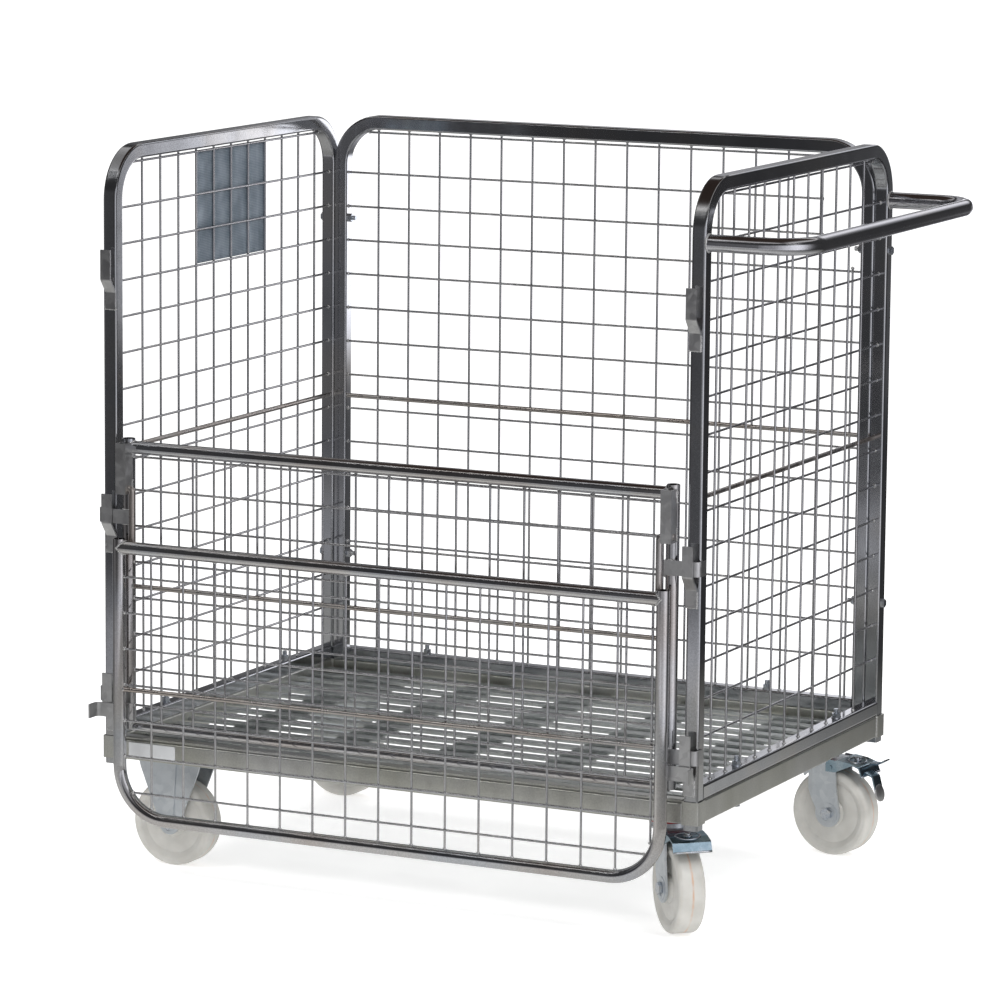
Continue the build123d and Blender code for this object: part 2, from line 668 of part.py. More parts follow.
def pivot_brackets():
    """Channels on the front of the gate's posts that carry the flap's hinge rods."""
    front = PIVOT_Y - PIN_R - BRACKET_SPARE - BRACKET_THICK
    back = GATE_Y - BRACKET_THICK
    half = BRACKET_WIDTH / 2
    with BuildPart() as bracket:
        with BuildSketch(Plane.XY.offset(BRACKET_LOW)):
            with Locations((GATE_POST_X, (front + back) / 2)):
                Rectangle(BRACKET_WIDTH, back - front)
            with Locations((GATE_POST_X, (front + back) / 2 + BRACKET_THICK)):
                Rectangle(BRACKET_WIDTH - 2 * BRACKET_THICK, back - front, mode=Mode.SUBTRACT)
        extrude(amount=BRACKET_HIGH - BRACKET_LOW)
        with Locations((GATE_POST_X, GATE_Y, (GATE_BOTTOM + GATE_TOP) / 2)):
            Cylinder(ROUND_R, GATE_TOP - GATE_BOTTOM, mode=Mode.SUBTRACT)
        with Locations((GATE_POST_X - half, GATE_Y, GATE_TOP_RAIL)):
            Cylinder(ROUND_R, 2 * BRACKET_WIDTH, rotation=(0, 90, 0), mode=Mode.SUBTRACT)
        with Locations((GATE_POST_X, PIVOT_Y, PIVOT_Z)):
            Cylinder(PIN_R + PIN_PLAY, 2 * BRACKET_WIDTH, rotation=(0, 90, 0), mode=Mode.SUBTRACT)
    with BuildPart() as brackets:
        add(bracket.part)
        add(mirrored(bracket.part))
    save(brackets.part, "pivot_brackets")


def keepers():
    """Three joggled straps on each front post, open at the top, that hold the hooks."""
    lower = FRONT_FACE - KEEPER_THICK / 2
    upper = FRONT_FACE - POCKET - KEEPER_THICK / 2
    plane = Plane(origin=(INNER_X, 0, 0), x_dir=(0, 1, 0), z_dir=(1, 0, 0))
    with BuildPart() as right:
        for top in KEEPER_TOPS:
            bends = (
                (lower, top - KEEPER_HEIGHT),
                (lower, top - KEEPER_JOGGLE_LOW),
                (upper, top - KEEPER_JOGGLE_HIGH),
                (upper, top),
            )
            add(bent_strap(bends, KEEPER_BEND, plane, KEEPER_WIDTH))
    save(right.part, "gate_keepers_right")
    save(mirrored(right.part), "gate_keepers_left")


# ---- flap -------------------------------------------------------------------------------
def flap_frame():
    """U of bent round tube with a top rail, hanging in front of the gate."""
    with BuildPart() as frame:
        for radius, mode in ((ROUND_R, Mode.ADD), (ROUND_R - ROUND_WALL, Mode.SUBTRACT)):
            with BuildLine(FLAP) as run:
                FilletPolyline(
                    (-GATE_POST_X, FLAP_TOP),
                    (-GATE_POST_X, FLAP_LOW_RAIL),
                    (GATE_POST_X, FLAP_LOW_RAIL),
                    (GATE_POST_X, FLAP_TOP),
                    radius=FLAP_BEND,
                )
            with BuildSketch(Plane(origin=run.line @ 0, z_dir=run.line % 0)):
                Circle(radius)
            sweep(path=run.line, mode=mode)
            with BuildSketch(Plane(origin=(-GATE_POST_X, FLAP_Y, FLAP_TOP_RAIL), z_dir=(1, 0, 0))):
                Circle(radius)
            extrude(amount=2 * GATE_POST_X, mode=mode)
    save(frame.part, "flap_frame")


def flap_mesh():
    """Mesh of the flap and the thicker rod across it."""
    inner_bend = FLAP_BEND - ROUND_R
    straight = GATE_POST_X - FLAP_BEND
    bend_level = FLAP_LOW_RAIL + FLAP_BEND
    uprights = []
    for i in range(BACK_WIRES):
        x = GATE_FIRST_X + PITCH * i
        into_bend = max(0.0, abs(x) + WIRE_R - straight)
        low = bend_level - sqrt(inner_bend**2 - into_bend**2)
        uprights.append((x, low, FLAP_TOP_RAIL - ROUND_R))
    rows = []
    for row in range(FLAP_ROWS):
        level = FLAP_FIRST_ROW + PITCH * row
        into_bend = max(0.0, bend_level - level + WIRE_R)
        reach = straight + sqrt(inner_bend**2 - into_bend**2)
        rows.append((level, -reach, reach))
    save(welded_mesh(FLAP, uprights, rows), "flap_mesh")
    rod = straight_rod((-GATE_CLEAR, FLAP_Y - ROD_R, FLAP_MID_ROD), (1, 0, 0), 2 * GATE_CLEAR, ROD_R)
    save(rod, "flap_mid_rod")


def flap_hooks():
    """Two hooks on the flap's posts; they hang upside down while the flap is folded."""
    plate_y = FLAP_Y + ROUND_R + HOOK_THICK / 2
    outer = HOOK_OUT_X - HOOK_THICK / 2
    bends = ((HOOK_IN_X, plate_y), (outer, plate_y), (outer, plate_y - HOOK_WRAP))
    right = bent_strap(bends, HOOK_BEND, Plane.XY.offset(FLAP_HOOK_Z - HOOK_HEIGHT / 2), HOOK_HEIGHT)
    with BuildPart() as hooks:
        add(right)
        add(mirrored(right))
    save(hooks.part, "flap_hooks")


def hinge_rods():
    """Bent rods welded behind the flap's top rail that turn in the gate's brackets."""
    with BuildPart() as right:
        with BuildLine(FRONT_LOOK.offset(-PIVOT_Y)) as run:
            FilletPolyline(
                (GATE_POST_X + BRACKET_WIDTH / 2 + PIN_END, PIVOT_Z),
                (HINGE_ROD_X, PIVOT_Z),
                (HINGE_ROD_X, FLAP_TOP_RAIL),
                radius=ROD_BEND,
            )
        with BuildSketch(Plane(origin=run.line @ 0, z_dir=run.line % 0)):
            Circle(PIN_R)
        sweep(path=run.line)
    with BuildPart() as rods:
        add(right.part)
        add(mirrored(right.part))
    save(rods.part, "flap_hinge_rods")


# ---- casters ----------------------------------------------------------------------------
# Each caster is made at the origin with its wheel trailing towards +X, then put in its place.
def top_plate():
    """Caster top plate with four bolt holes."""
    with BuildPart() as plate:
        with BuildSketch(Plane.XY.offset(BASE_BOTTOM - PLATE_THICK)):
            RectangleRounded(PLATE_LENGTH, PLATE_WIDTH, 6)
            with GridLocations(BOLT_SPAN_X, BOLT_SPAN_Y, 2, 2):
                Circle(BOLT_R + BOLT_PLAY, mode=Mode.SUBTRACT)
        extrude(amount=PLATE_THICK)
    return plate.part


def hub_rings(x):
    """Pressed rings round the axle, on the outer faces of a fork's two legs."""
    outside = FORK_GAP / 2 + FORK_THICK
    inner, outer = HUB_RING
    with BuildPart() as rings:
        with BuildSketch(Plane(origin=(x, -outside, WHEEL_R), z_dir=(0, -1, 0))):
            Circle(outer)
            Circle(inner, mode=Mode.SUBTRACT)
        extrude(amount=HUB_RING_OUT)
        mirror(about=Plane.XZ)
    return rings.part


def fixed_fork():
    """Pressed fork with its plate: two tapered legs, each stiffened by a raised rib."""
    under = BASE_BOTTOM - PLATE_THICK
    outside = FORK_GAP / 2 + FORK_THICK
    slope_in, slope_down = FIXED_TOP_SLOPE
    with BuildPart() as fork:
        with BuildSketch(Plane.XZ.offset(-outside)):
            with BuildLine():
                Polyline(
                    (-FIXED_TOP_HALF, under),
                    (-FIXED_TOP_HALF + slope_in, under - slope_down),
                    (-LEG_END_R, WHEEL_R),
                )
                ThreePointArc((-LEG_END_R, WHEEL_R), (0, WHEEL_R - LEG_END_R), (LEG_END_R, WHEEL_R))
                Polyline(
                    (LEG_END_R, WHEEL_R),
                    (FIXED_TOP_HALF - slope_in, under - slope_down),
                    (FIXED_TOP_HALF, under),
                    (-FIXED_TOP_HALF, under),
                )
            make_face()
        extrude(amount=2 * outside)
        with BuildSketch(Plane.YZ.offset(-2 * FIXED_TOP_HALF)):
            with Locations((0, (under - FORK_THICK) / 2)):
                Rectangle(FORK_GAP, under - FORK_THICK)
        extrude(amount=4 * FIXED_TOP_HALF, mode=Mode.SUBTRACT)
        with BuildSketch(Plane.XZ.offset(-outside - RIB_OUT)):
            with BuildLine():
                Polyline(
                    (-RIB_HALF - RIB_FLARE, under),
                    (-RIB_HALF, WHEEL_R + RIB_ABOVE_AXLE),
                    (RIB_HALF, WHEEL_R + RIB_ABOVE_AXLE),
                    (RIB_HALF + RIB_FLARE, under),
                    (-RIB_HALF - RIB_FLARE, under),
                )
            make_face()
        extrude(amount=RIB_OUT)
        mirror(about=Plane.XZ)
        add(top_plate())
        add(hub_rings(0))
        with Locations((0, 0, WHEEL_R)):
            Cylinder(AXLE_R + PIN_PLAY, 4 * outside, rotation=(90, 0, 0), mode=Mode.SUBTRACT)
    return fork.part


def wheel():
    """Nylon wheel with a rounded tread, dished faces and a hub, on an axle along Y."""
    half = WHEEL_WIDTH / 2
    dish_edge, rim_in, rim_out = (WHEEL_R - depth for depth in RIM_DEPTHS)
    round_in = TREAD_R * (1 - cos(radians(45)))
    with BuildPart() as disc:
        with BuildSketch(Plane.YZ):
            with BuildLine():
                Polyline(
                    (0, BUSH_R + PIN_PLAY),
                    (half + HUB_OUT, BUSH_R + PIN_PLAY),
                    (half + HUB_OUT, HUB_R),
                    (half - DISH, HUB_R + HUB_SLOPE),
                    (half - DISH, dish_edge),
                    (half - RIM_STEP, rim_in),
                    (half, rim_out),
                    (half, WHEEL_R - TREAD_R),
                )
                ThreePointArc(
                    (half, WHEEL_R - TREAD_R),
                    (half - round_in, WHEEL_R - round_in),
                    (half - TREAD_R, WHEEL_R),
                )
                Polyline((half - TREAD_R, WHEEL_R), (0, WHEEL_R), (0, BUSH_R + PIN_PLAY))
            make_face()
        revolve(axis=Axis.Y)
        mirror(about=Plane.XZ)
    return Pos(0, 0, WHEEL_R) * disc.part


def bush():
    """Steel bush clamped between the fork's legs; the wheel turns on it."""
    with BuildPart() as tube:
        with BuildSketch(Plane(origin=(0, FORK_GAP / 2, WHEEL_R), z_dir=(0, -1, 0))):
            Circle(BUSH_R)
            Circle(AXLE_R + PIN_PLAY, mode=Mode.SUBTRACT)
        extrude(amount=FORK_GAP)
    return tube.part


def axle_bolt(outside):
    """Axle bolt with its nut, clamped over the fork's legs."""
    with BuildPart() as axle:
        seat = Plane(origin=(0, -outside, WHEEL_R), z_dir=(0, -1, 0))
        far_seat = Plane(origin=(0, outside, WHEEL_R), z_dir=(0, 1, 0))
        length = 2 * outside + AXLE_NUT + AXLE_SPARE
        add(hex_bolt(seat, length, flats=AXLE_FLATS, radius=AXLE_R, head=AXLE_HEAD))
        with BuildSketch(far_seat):
            hexagon(AXLE_FLATS)
        extrude(amount=AXLE_NUT)
    return axle.part


def swivel_plate():
    """Top plate of a swivel caster with its upper race and kingpin."""
    under = BASE_BOTTOM - PLATE_THICK
    with BuildPart() as plate:
        add(top_plate())
        with BuildSketch(Plane.XY.offset(RACE_LOW)):
            Circle(RACE_R)
        extrude(amount=under - RACE_LOW)
        with BuildSketch(Plane.XY.offset(KINGPIN_LOW)):
            Circle(KINGPIN_R)
        extrude(amount=under - KINGPIN_LOW)
        with BuildSketch(Plane.XY.offset(KINGPIN_LOW)):
            Circle(KINGPIN_HEAD_R)
        extrude(amount=-KINGPIN_HEAD)
    return plate.part


def seal_ring():
    """Coloured seal round the swivel's upper race."""
    with BuildPart() as ring:
        with BuildSketch(Plane.XY.offset(SEAL_LOW)):
            Circle(SEAL_R)
            Circle(RACE_R + PIN_PLAY, mode=Mode.SUBTRACT)
        extrude(amount=SEAL_HEIGHT)
        fillet(ring.edges().filter_by(GeomType.CIRCLE).group_by(SortBy.RADIUS)[-1], SEAL_EDGE_R)
    return ring.part


def swivel_fork():
    """Pressed fork: a round crown, two flat legs and slanted cheeks on the leading side."""
    outside = FORK_GAP / 2 + FORK_THICK
    inside = FORK_GAP / 2
    leg_low = WHEEL_R - SWIVEL_END_R
    leg_front = TRAIL - SWIVEL_END_R
    leg_back = TRAIL + SWIVEL_END_R
    nose_cut = FORK_NOSE_X - CUT_SPARE
    with BuildPart() as fork:
        with BuildSketch(Plane.XY.offset(leg_low)):
            with BuildLine():
                Polyline(
                    (LEG_BACK_X, -outside),
                    (CHEEK_X, -outside),
                    (FORK_NOSE_X, -NOSE_HALF),
                    (FORK_NOSE_X, NOSE_HALF),
                    (CHEEK_X, outside),
                    (LEG_BACK_X, outside),
                    (LEG_BACK_X, inside),
                    (CHEEK_X + NOSE_SLANT, inside),
                    (FORK_NOSE_X + FORK_THICK, NOSE_HALF - NOSE_SLANT),
                    (FORK_NOSE_X + FORK_THICK, NOSE_SLANT - NOSE_HALF),
                    (CHEEK_X + NOSE_SLANT, -inside),
                    (LEG_BACK_X, -inside),
                    (LEG_BACK_X, -outside),
                )
            make_face()
        extrude(amount=CROWN_LOW - leg_low)
        with BuildSketch(Plane.XZ.offset(-2 * outside)):
            with BuildLine():
                Polyline(
                    (nose_cut, CROWN_LOW + CUT_SPARE),
                    (nose_cut, CROWN_LOW - NOSE_DROP),
                    (leg_front, WHEEL_R + SHOULDER),
                    (leg_front, WHEEL_R),
                )
                ThreePointArc((leg_front, WHEEL_R), (TRAIL, leg_low), (leg_back, WHEEL_R))
                Polyline(
                    (leg_back, WHEEL_R),
                    (FORK_BACK_X, WHEEL_R + BACK_RISE),
                    (FORK_BACK_X, CROWN_LOW + CUT_SPARE),
                    (nose_cut, CROWN_LOW + CUT_SPARE),
                )
            make_face()
        extrude(amount=4 * outside, mode=Mode.INTERSECT)
        with BuildSketch(Plane.XY.offset(CROWN_LOW)):
            Circle(CROWN_R)
            with Locations((FORK_BACK_X / 2, 0)):
                Rectangle(FORK_BACK_X, 2 * outside)
        extrude(amount=FORK_THICK)
        with BuildSketch(Plane.XY.offset(CROWN_LOW + FORK_THICK)):
            Circle(CROWN_R - CROWN_STEP)
        extrude(amount=CROWN_TOP - CROWN_LOW - FORK_THICK, taper=CROWN_TAPER)
        add(hub_rings(TRAIL))
        with Locations((0, 0, CROWN_LOW)):
            Cylinder(KINGPIN_R + PIN_PLAY, 4 * CROWN_R, mode=Mode.SUBTRACT)
        with Locations((TRAIL, 0, WHEEL_R)):
            clear_width = WHEEL_WIDTH + WHEEL_CLEAR_SIDE
            Cylinder(WHEEL_R + WHEEL_CLEAR_R, clear_width, rotation=(90, 0, 0), mode=Mode.SUBTRACT)
            Cylinder(AXLE_R + PIN_PLAY, 4 * outside, rotation=(90, 0, 0), mode=Mode.SUBTRACT)
        with Locations((PEDAL_PIN_X, 0, PEDAL_PIN_Z)):
            Cylinder(PEDAL_PIN_R, 4 * outside, rotation=(90, 0, 0), mode=Mode.SUBTRACT)
    return fork.part


def brake_pedal(with_release):
    """Pressed pedal with two cheeks over the fork, a turned-down lip and its pivot pin."""
    cheek_in = FORK_GAP / 2 + FORK_THICK + PEDAL_PLAY
    half = PEDAL_WIDTH / 2
    with BuildPart() as pedal:
        for line in (PEDAL_LIP, PEDAL_PLATE):
            with BuildSketch(Plane.XZ.offset(-half)):
                with BuildLine():
                    FilletPolyline(*line, radius=PEDAL_BEND)
                trace(line_width=PEDAL_THICK)
            extrude(amount=PEDAL_WIDTH)
        with BuildPart(mode=Mode.PRIVATE) as cheek:
            with BuildSketch(Plane.XZ.offset(-half)):
                with BuildLine():
                    Polyline(*PEDAL_CHEEK, PEDAL_CHEEK[0])
                make_face()
            extrude(amount=half - cheek_in)
        add(cheek.part)
        add(mirror(cheek.part, about=Plane.XZ))
        with Locations((PEDAL_PIN_X, 0, PEDAL_PIN_Z)):
            pin_length = PEDAL_WIDTH + 2 * PEDAL_PIN_END
            Cylinder(PEDAL_PIN_R - PIN_PLAY, pin_length, rotation=(90, 0, 0))
        if with_release:
            for line, bend, edge, width in (
                (RELEASE_TAB, RELEASE_TAB_BEND, RELEASE_TAB_EDGE - half, RELEASE_TAB_WIDTH),
                (RELEASE_LEVER, RELEASE_LEVER_BEND, RELEASE_LEVER_EDGE, RELEASE_LEVER_WIDTH),
            ):
                with BuildSketch(Plane.XZ.offset(edge)):
                    with BuildLine():
                        FilletPolyline(*line, radius=bend)
                    trace(line_width=PEDAL_THICK)
                extrude(amount=width)
    return pedal.part


def fixed_casters():
    outside = FORK_GAP / 2 + FORK_THICK
    for name, side in (("front", -1), ("rear", 1)):
        place = Pos(-CASTER_X, side * CASTER_Y, 0)
        save(place * fixed_fork(), f"fixed_fork_{name}")
        save(place * wheel(), f"fixed_wheel_{name}")
        save(place * bush(), f"fixed_bush_{name}")
        save(place * axle_bolt(outside), f"fixed_axle_{name}")


def swivel_casters():
    outside = FORK_GAP / 2 + FORK_THICK
    for name, side, angle in (("front", -1, FRONT_TRAIL_ANGLE), ("rear", 1, REAR_TRAIL_ANGLE)):
        still = Pos(CASTER_X, side * CASTER_Y, 0)
        swung = still * Rot(0, 0, angle)
        trailing = swung * Pos(TRAIL, 0, 0)
        save(still * swivel_plate(), f"swivel_plate_{name}")
        save(still * seal_ring(), f"swivel_seal_{name}")
        save(swung * swivel_fork(), f"swivel_fork_{name}")
        save(trailing * wheel(), f"swivel_wheel_{name}")
        save(trailing * bush(), f"swivel_bush_{name}")
        save(trailing * axle_bolt(outside), f"swivel_axle_{name}")
        save(swung * brake_pedal(name == "rear"), f"brake_pedal_{name}")


base_rails()
deck()
corner_sleeves()
caster_plates()
label_plate()
side_panel("left", 0)
side_panel("right", 180)
back_panel()
info_plate()
push_handle()
keepers()
panel_fasteners()
caster_fasteners()
gate_frame()
gate_mesh()
gate_hooks()
pivot_brackets()
flap_frame()
flap_mesh()
flap_hooks()
hinge_rods()
fixed_casters()
swivel_casters()
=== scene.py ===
import json
import math
import random

import bmesh
import bpy
from mathutils import Matrix, Vector


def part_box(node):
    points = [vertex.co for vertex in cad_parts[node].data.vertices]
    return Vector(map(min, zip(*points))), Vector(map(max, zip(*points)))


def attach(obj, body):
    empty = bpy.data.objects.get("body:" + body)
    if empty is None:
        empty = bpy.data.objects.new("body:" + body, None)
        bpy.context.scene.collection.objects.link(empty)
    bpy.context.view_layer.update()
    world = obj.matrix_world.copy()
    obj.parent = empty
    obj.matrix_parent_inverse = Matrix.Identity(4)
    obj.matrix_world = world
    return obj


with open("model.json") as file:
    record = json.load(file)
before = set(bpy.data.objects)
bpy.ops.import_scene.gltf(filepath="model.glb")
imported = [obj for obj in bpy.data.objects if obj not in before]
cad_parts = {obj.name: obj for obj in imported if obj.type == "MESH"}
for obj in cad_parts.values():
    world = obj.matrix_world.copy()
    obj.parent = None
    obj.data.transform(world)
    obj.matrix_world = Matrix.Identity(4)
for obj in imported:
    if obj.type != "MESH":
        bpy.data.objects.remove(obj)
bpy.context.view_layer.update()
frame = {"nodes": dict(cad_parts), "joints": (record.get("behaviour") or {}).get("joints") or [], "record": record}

# Looks for the roll cage container, in metres, in the frame's own axes: +X to the push handle,
# -Y to the front gate, +Z up.
JOINTS = {joint["name"]: joint for joint in frame["joints"]}

# The middle of the cage's corner posts, on the floor: the camera and the studio are placed from it.
LEFT_LOW, LEFT_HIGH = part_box("left_panel_frame")
RIGHT_LOW, RIGHT_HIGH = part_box("right_panel_frame")
CAGE = Vector(((LEFT_LOW.x + RIGHT_HIGH.x) / 2, (LEFT_LOW.y + LEFT_HIGH.y) / 2, 0))

bpy.context.scene.view_settings.view_transform = "Standard"


# ---- materials --------------------------------------------------------------------------
NOISE_BAND = (0.3, 0.7)             # the part of its range that soft noise mostly fills
ZINC_STOPS = (0.30, 0.50, 0.70)     # where the three passivation colours sit in the patches
ZINC_GRAIN = 420.0                  # crystals to the metre
ZINC_GRAIN_DEPTH = 0.000003
SPANGLE_SCALE = 95.0
SPANGLE_SHARE = 0.45                # the spangles' part of a galvanised tone; stains give the rest
SHEET_GRAIN = 260.0
SHEET_GRAIN_DEPTH = 0.0001
PLASTIC_GRAIN = 500.0
PLASTIC_GRAIN_DEPTH = 0.00005
HATCH_TURNS = 1100.0                # radians to the metre
HATCH_DEPTH = 0.0003
PLATE_TONES = ((0.13, 0.17, 0.21), (0.30, 0.35, 0.41))
PLATE_STREAKS = ((0.78, 0.78, 0.78), (1.0, 1.0, 1.0))
PLATE_ROUGH = (0.30, 0.5)

NYLON_DARK = (0.46, 0.45, 0.42)
NYLON_LIGHT = (0.58, 0.57, 0.54)
NYLON_HUB_DARK = (0.45, 0.45, 0.42)
NYLON_ROUGH = (0.28, 0.46)
NYLON_SUBSURFACE = 0.25
NYLON_SCATTER = (0.008, 0.007, 0.006)
SEAM_TAN = (0.55, 0.36, 0.25)
SEAM_CORE = 0.0002                  # half widths of the mould seam, from full strength to none
SEAM_EDGE = 0.0024
SEAM_WOBBLE = 0.0009
SEAM_STRENGTH = 0.95
TREAD_IN = 0.070                    # the seam fades in between these radii
TREAD_OUT = 0.0745
HUB_DARK_IN = 0.018                    # the nylon gets darker towards the hub; this fades out between these radii
HUB_DARK_OUT = 0.040
HUB_DARK_STRENGTH = 0.35
TURNED_RINGS = 3600.0               # radians to the metre
TURNED_DEPTH = 0.00004


class Surface:
    """A node material with short names for the nodes that the finishes share."""

    def __init__(self, name, metallic, roughness):
        self.material = bpy.data.materials.new(name)
        self.material.use_nodes = True
        self.tree = self.material.node_tree
        self.shader = self.tree.nodes["Principled BSDF"]
        self.shader.inputs["Metallic"].default_value = metallic
        self.shader.inputs["Roughness"].default_value = roughness
        self.place = self.node("ShaderNodeTexCoord").outputs["Object"]

    def node(self, kind, **settings):
        made = self.tree.nodes.new(kind)
        for key, value in settings.items():
            setattr(made, key, value)
        return made

    def link(self, source, target):
        self.tree.links.new(source, target)

    def scaled(self, stretch):
        """The place on the object, stretched along its axes."""
        mapping = self.node("ShaderNodeMapping")
        mapping.inputs["Scale"].default_value = stretch
        self.link(self.place, mapping.inputs["Vector"])
        return mapping.outputs["Vector"]

    def noise(self, scale, detail, stretch=(1, 1, 1), rough=0.5):
        made = self.node("ShaderNodeTexNoise")
        made.inputs["Scale"].default_value = scale
        made.inputs["Detail"].default_value = detail
        made.inputs["Roughness"].default_value = rough
        self.link(self.scaled(stretch), made.inputs["Vector"])
        return made.outputs["Fac"]

    def cells(self, scale):
        made = self.node("ShaderNodeTexVoronoi")
        made.inputs["Scale"].default_value = scale
        self.link(self.place, made.inputs["Vector"])
        return made.outputs["Color"]

    def span(self, value, low, high, to_low, to_high):
        """value, mapped from low..high to to_low..to_high and kept inside it."""
        made = self.node("ShaderNodeMapRange")
        for key, number in (("From Min", low), ("From Max", high), ("To Min", to_low), ("To Max", to_high)):
            made.inputs[key].default_value = number
        self.link(value, made.inputs["Value"])
        return made.outputs["Result"]

    def uneven(self, scale, detail, low, high):
        """A value that wanders between low and high over the object."""
        return self.span(self.noise(scale, detail), *NOISE_BAND, low, high)

    def ramp(self, value, stops):
        made = self.node("ShaderNodeValToRGB")
        elements = made.color_ramp.elements
        while len(elements) < len(stops):
            elements.new(0.5)
        for element, (position, colour) in zip(elements, stops):
            element.position = position
            element.color = (*colour, 1)
        self.link(value, made.inputs["Fac"])
        return made.outputs["Color"]

    def blend(self, amount, first, second, mode="MIX"):
        made = self.node("ShaderNodeMix", data_type="RGBA", blend_type=mode)
        if hasattr(amount, "links"):
            self.link(amount, made.inputs["Factor"])
        else:
            made.inputs["Factor"].default_value = amount
        for key, colour in (("A", first), ("B", second)):
            socket = [s for s in made.inputs if s.name == key and s.type == "RGBA"][0]
            if hasattr(colour, "links"):
                self.link(colour, socket)
            else:
                socket.default_value = (*colour, 1)
        return [s for s in made.outputs if s.type == "RGBA"][0]

    def maths(self, first, second, operation="ADD"):
        made = self.node("ShaderNodeMath", operation=operation)
        for socket, value in zip(made.inputs, (first, second)):
            if hasattr(value, "links"):
                self.link(value, socket)
            else:
                socket.default_value = value
        return made.outputs["Value"]

    def paint(self, colour):
        self.link(colour, self.shader.inputs["Base Color"])

    def polish(self, value):
        self.link(value, self.shader.inputs["Roughness"])

    def relief(self, height, distance):
        bump = self.node("ShaderNodeBump")
        bump.inputs["Distance"].default_value = distance
        bump.inputs["Strength"].default_value = 1.0
        self.link(height, bump.inputs["Height"])
        self.link(bump.outputs["Normal"], self.shader.inputs["Normal"])


def zinc(name, colours, rough, blotch):
    """Zinc plate: slow patches of passivation colour, a fine crystal grain and an uneven polish."""
    surface = Surface(name, 1.0, sum(rough) / 2)
    patches = surface.noise(blotch, 4)
    tone = surface.ramp(patches, list(zip(ZINC_STOPS, colours)))
    specks = surface.noise(ZINC_GRAIN, 2)
    worn = surface.span(specks, 0.35, 0.7, 0.90, 1.05)
    grey = surface.node("ShaderNodeCombineColor")
    for channel in ("Red", "Green", "Blue"):
        surface.link(worn, grey.inputs[channel])
    surface.paint(surface.blend(1.0, tone, grey.outputs["Color"], "MULTIPLY"))
    smears = surface.noise(30, 4, (1, 1, 0.5), 0.6)
    surface.polish(surface.span(smears, 0.3, 0.72, *rough))
    surface.relief(specks, ZINC_GRAIN_DEPTH)
    return surface.material


def galvanised(name, dark, light, rough):
    """Dull zinc sheet with soft crystal spangles and stains."""
    surface = Surface(name, 1.0, sum(rough) / 2)
    spangle = surface.node("ShaderNodeSeparateColor")
    surface.link(surface.cells(SPANGLE_SCALE), spangle.inputs["Color"])
    crystals = surface.span(spangle.outputs["Red"], 0, 1, 0, SPANGLE_SHARE)
    stains = surface.span(surface.noise(14, 6, rough=0.6), *NOISE_BAND, 0, 1 - SPANGLE_SHARE)
    mixed = surface.maths(crystals, stains)
    surface.paint(surface.ramp(mixed, [(0.1, dark), (0.9, light)]))
    surface.polish(surface.span(spangle.outputs["Green"], 0, 1, *rough))
    surface.relief(surface.noise(SHEET_GRAIN, 3), SHEET_GRAIN_DEPTH)
    return surface.material


def moulded(name, colour, shade, rough):
    """Moulded plastic or foil: faint cloudiness, fine texture and scuffs."""
    surface = Surface(name, 0.0, sum(rough) / 2)
    cloud = surface.noise(22, 4)
    surface.paint(surface.ramp(cloud, list(zip(NOISE_BAND, (shade, colour)))))
    surface.polish(surface.uneven(60, 5, *rough))
    surface.relief(surface.noise(PLASTIC_GRAIN, 2), PLASTIC_GRAIN_DEPTH)
    return surface.material


def nylon_wheel(name, joint):
    """Off-white nylon with a tan mould seam round the tread, darker towards the hub."""
    surface = Surface(name, 0.0, 0.4)
    centre = Vector(joint["pos_m"])
    axis = Vector(joint["axis"]).normalized()
    offset = surface.node("ShaderNodeVectorMath", operation="SUBTRACT")
    surface.link(surface.place, offset.inputs[0])
    offset.inputs[1].default_value = centre
    along = surface.node("ShaderNodeVectorMath", operation="DOT_PRODUCT")
    surface.link(offset.outputs["Vector"], along.inputs[0])
    along.inputs[1].default_value = axis
    reach = surface.node("ShaderNodeVectorMath", operation="LENGTH")
    surface.link(offset.outputs["Vector"], reach.inputs[0])
    radius = reach.outputs["Value"]
    across = surface.maths(along.outputs["Value"], 0.0, "ABSOLUTE")
    from_seam = surface.maths(across, surface.uneven(38, 4, -SEAM_WOBBLE, SEAM_WOBBLE))
    seam = surface.span(from_seam, SEAM_CORE, SEAM_EDGE, SEAM_STRENGTH, 0.0)
    on_tread = surface.span(radius, TREAD_IN, TREAD_OUT, 0.0, 1.0)
    broken = surface.span(surface.noise(70, 3), 0.35, 0.6, 0.25, 1.0)
    tan = surface.maths(surface.maths(seam, on_tread, "MULTIPLY"), broken, "MULTIPLY")
    body = surface.ramp(surface.noise(30, 5), [(0.25, NYLON_DARK), (0.75, NYLON_LIGHT)])
    seamed = surface.blend(tan, body, SEAM_TAN)
    # The body colour gets darker towards the hub, between these radii.
    hub_darkening = surface.span(radius, HUB_DARK_IN, HUB_DARK_OUT, HUB_DARK_STRENGTH, 0.0)
    surface.paint(surface.blend(hub_darkening, seamed, NYLON_HUB_DARK))
    surface.polish(surface.uneven(80, 5, *NYLON_ROUGH))
    rings = surface.maths(surface.maths(radius, TURNED_RINGS, "MULTIPLY"), 0.0, "SINE")
    surface.relief(surface.maths(rings, surface.noise(300, 2)), TURNED_DEPTH)
    surface.shader.inputs["Subsurface Weight"].default_value = NYLON_SUBSURFACE
    surface.shader.inputs["Subsurface Radius"].default_value = NYLON_SCATTER
    surface.shader.inputs["Subsurface Scale"].default_value = 1.0
    return surface.material


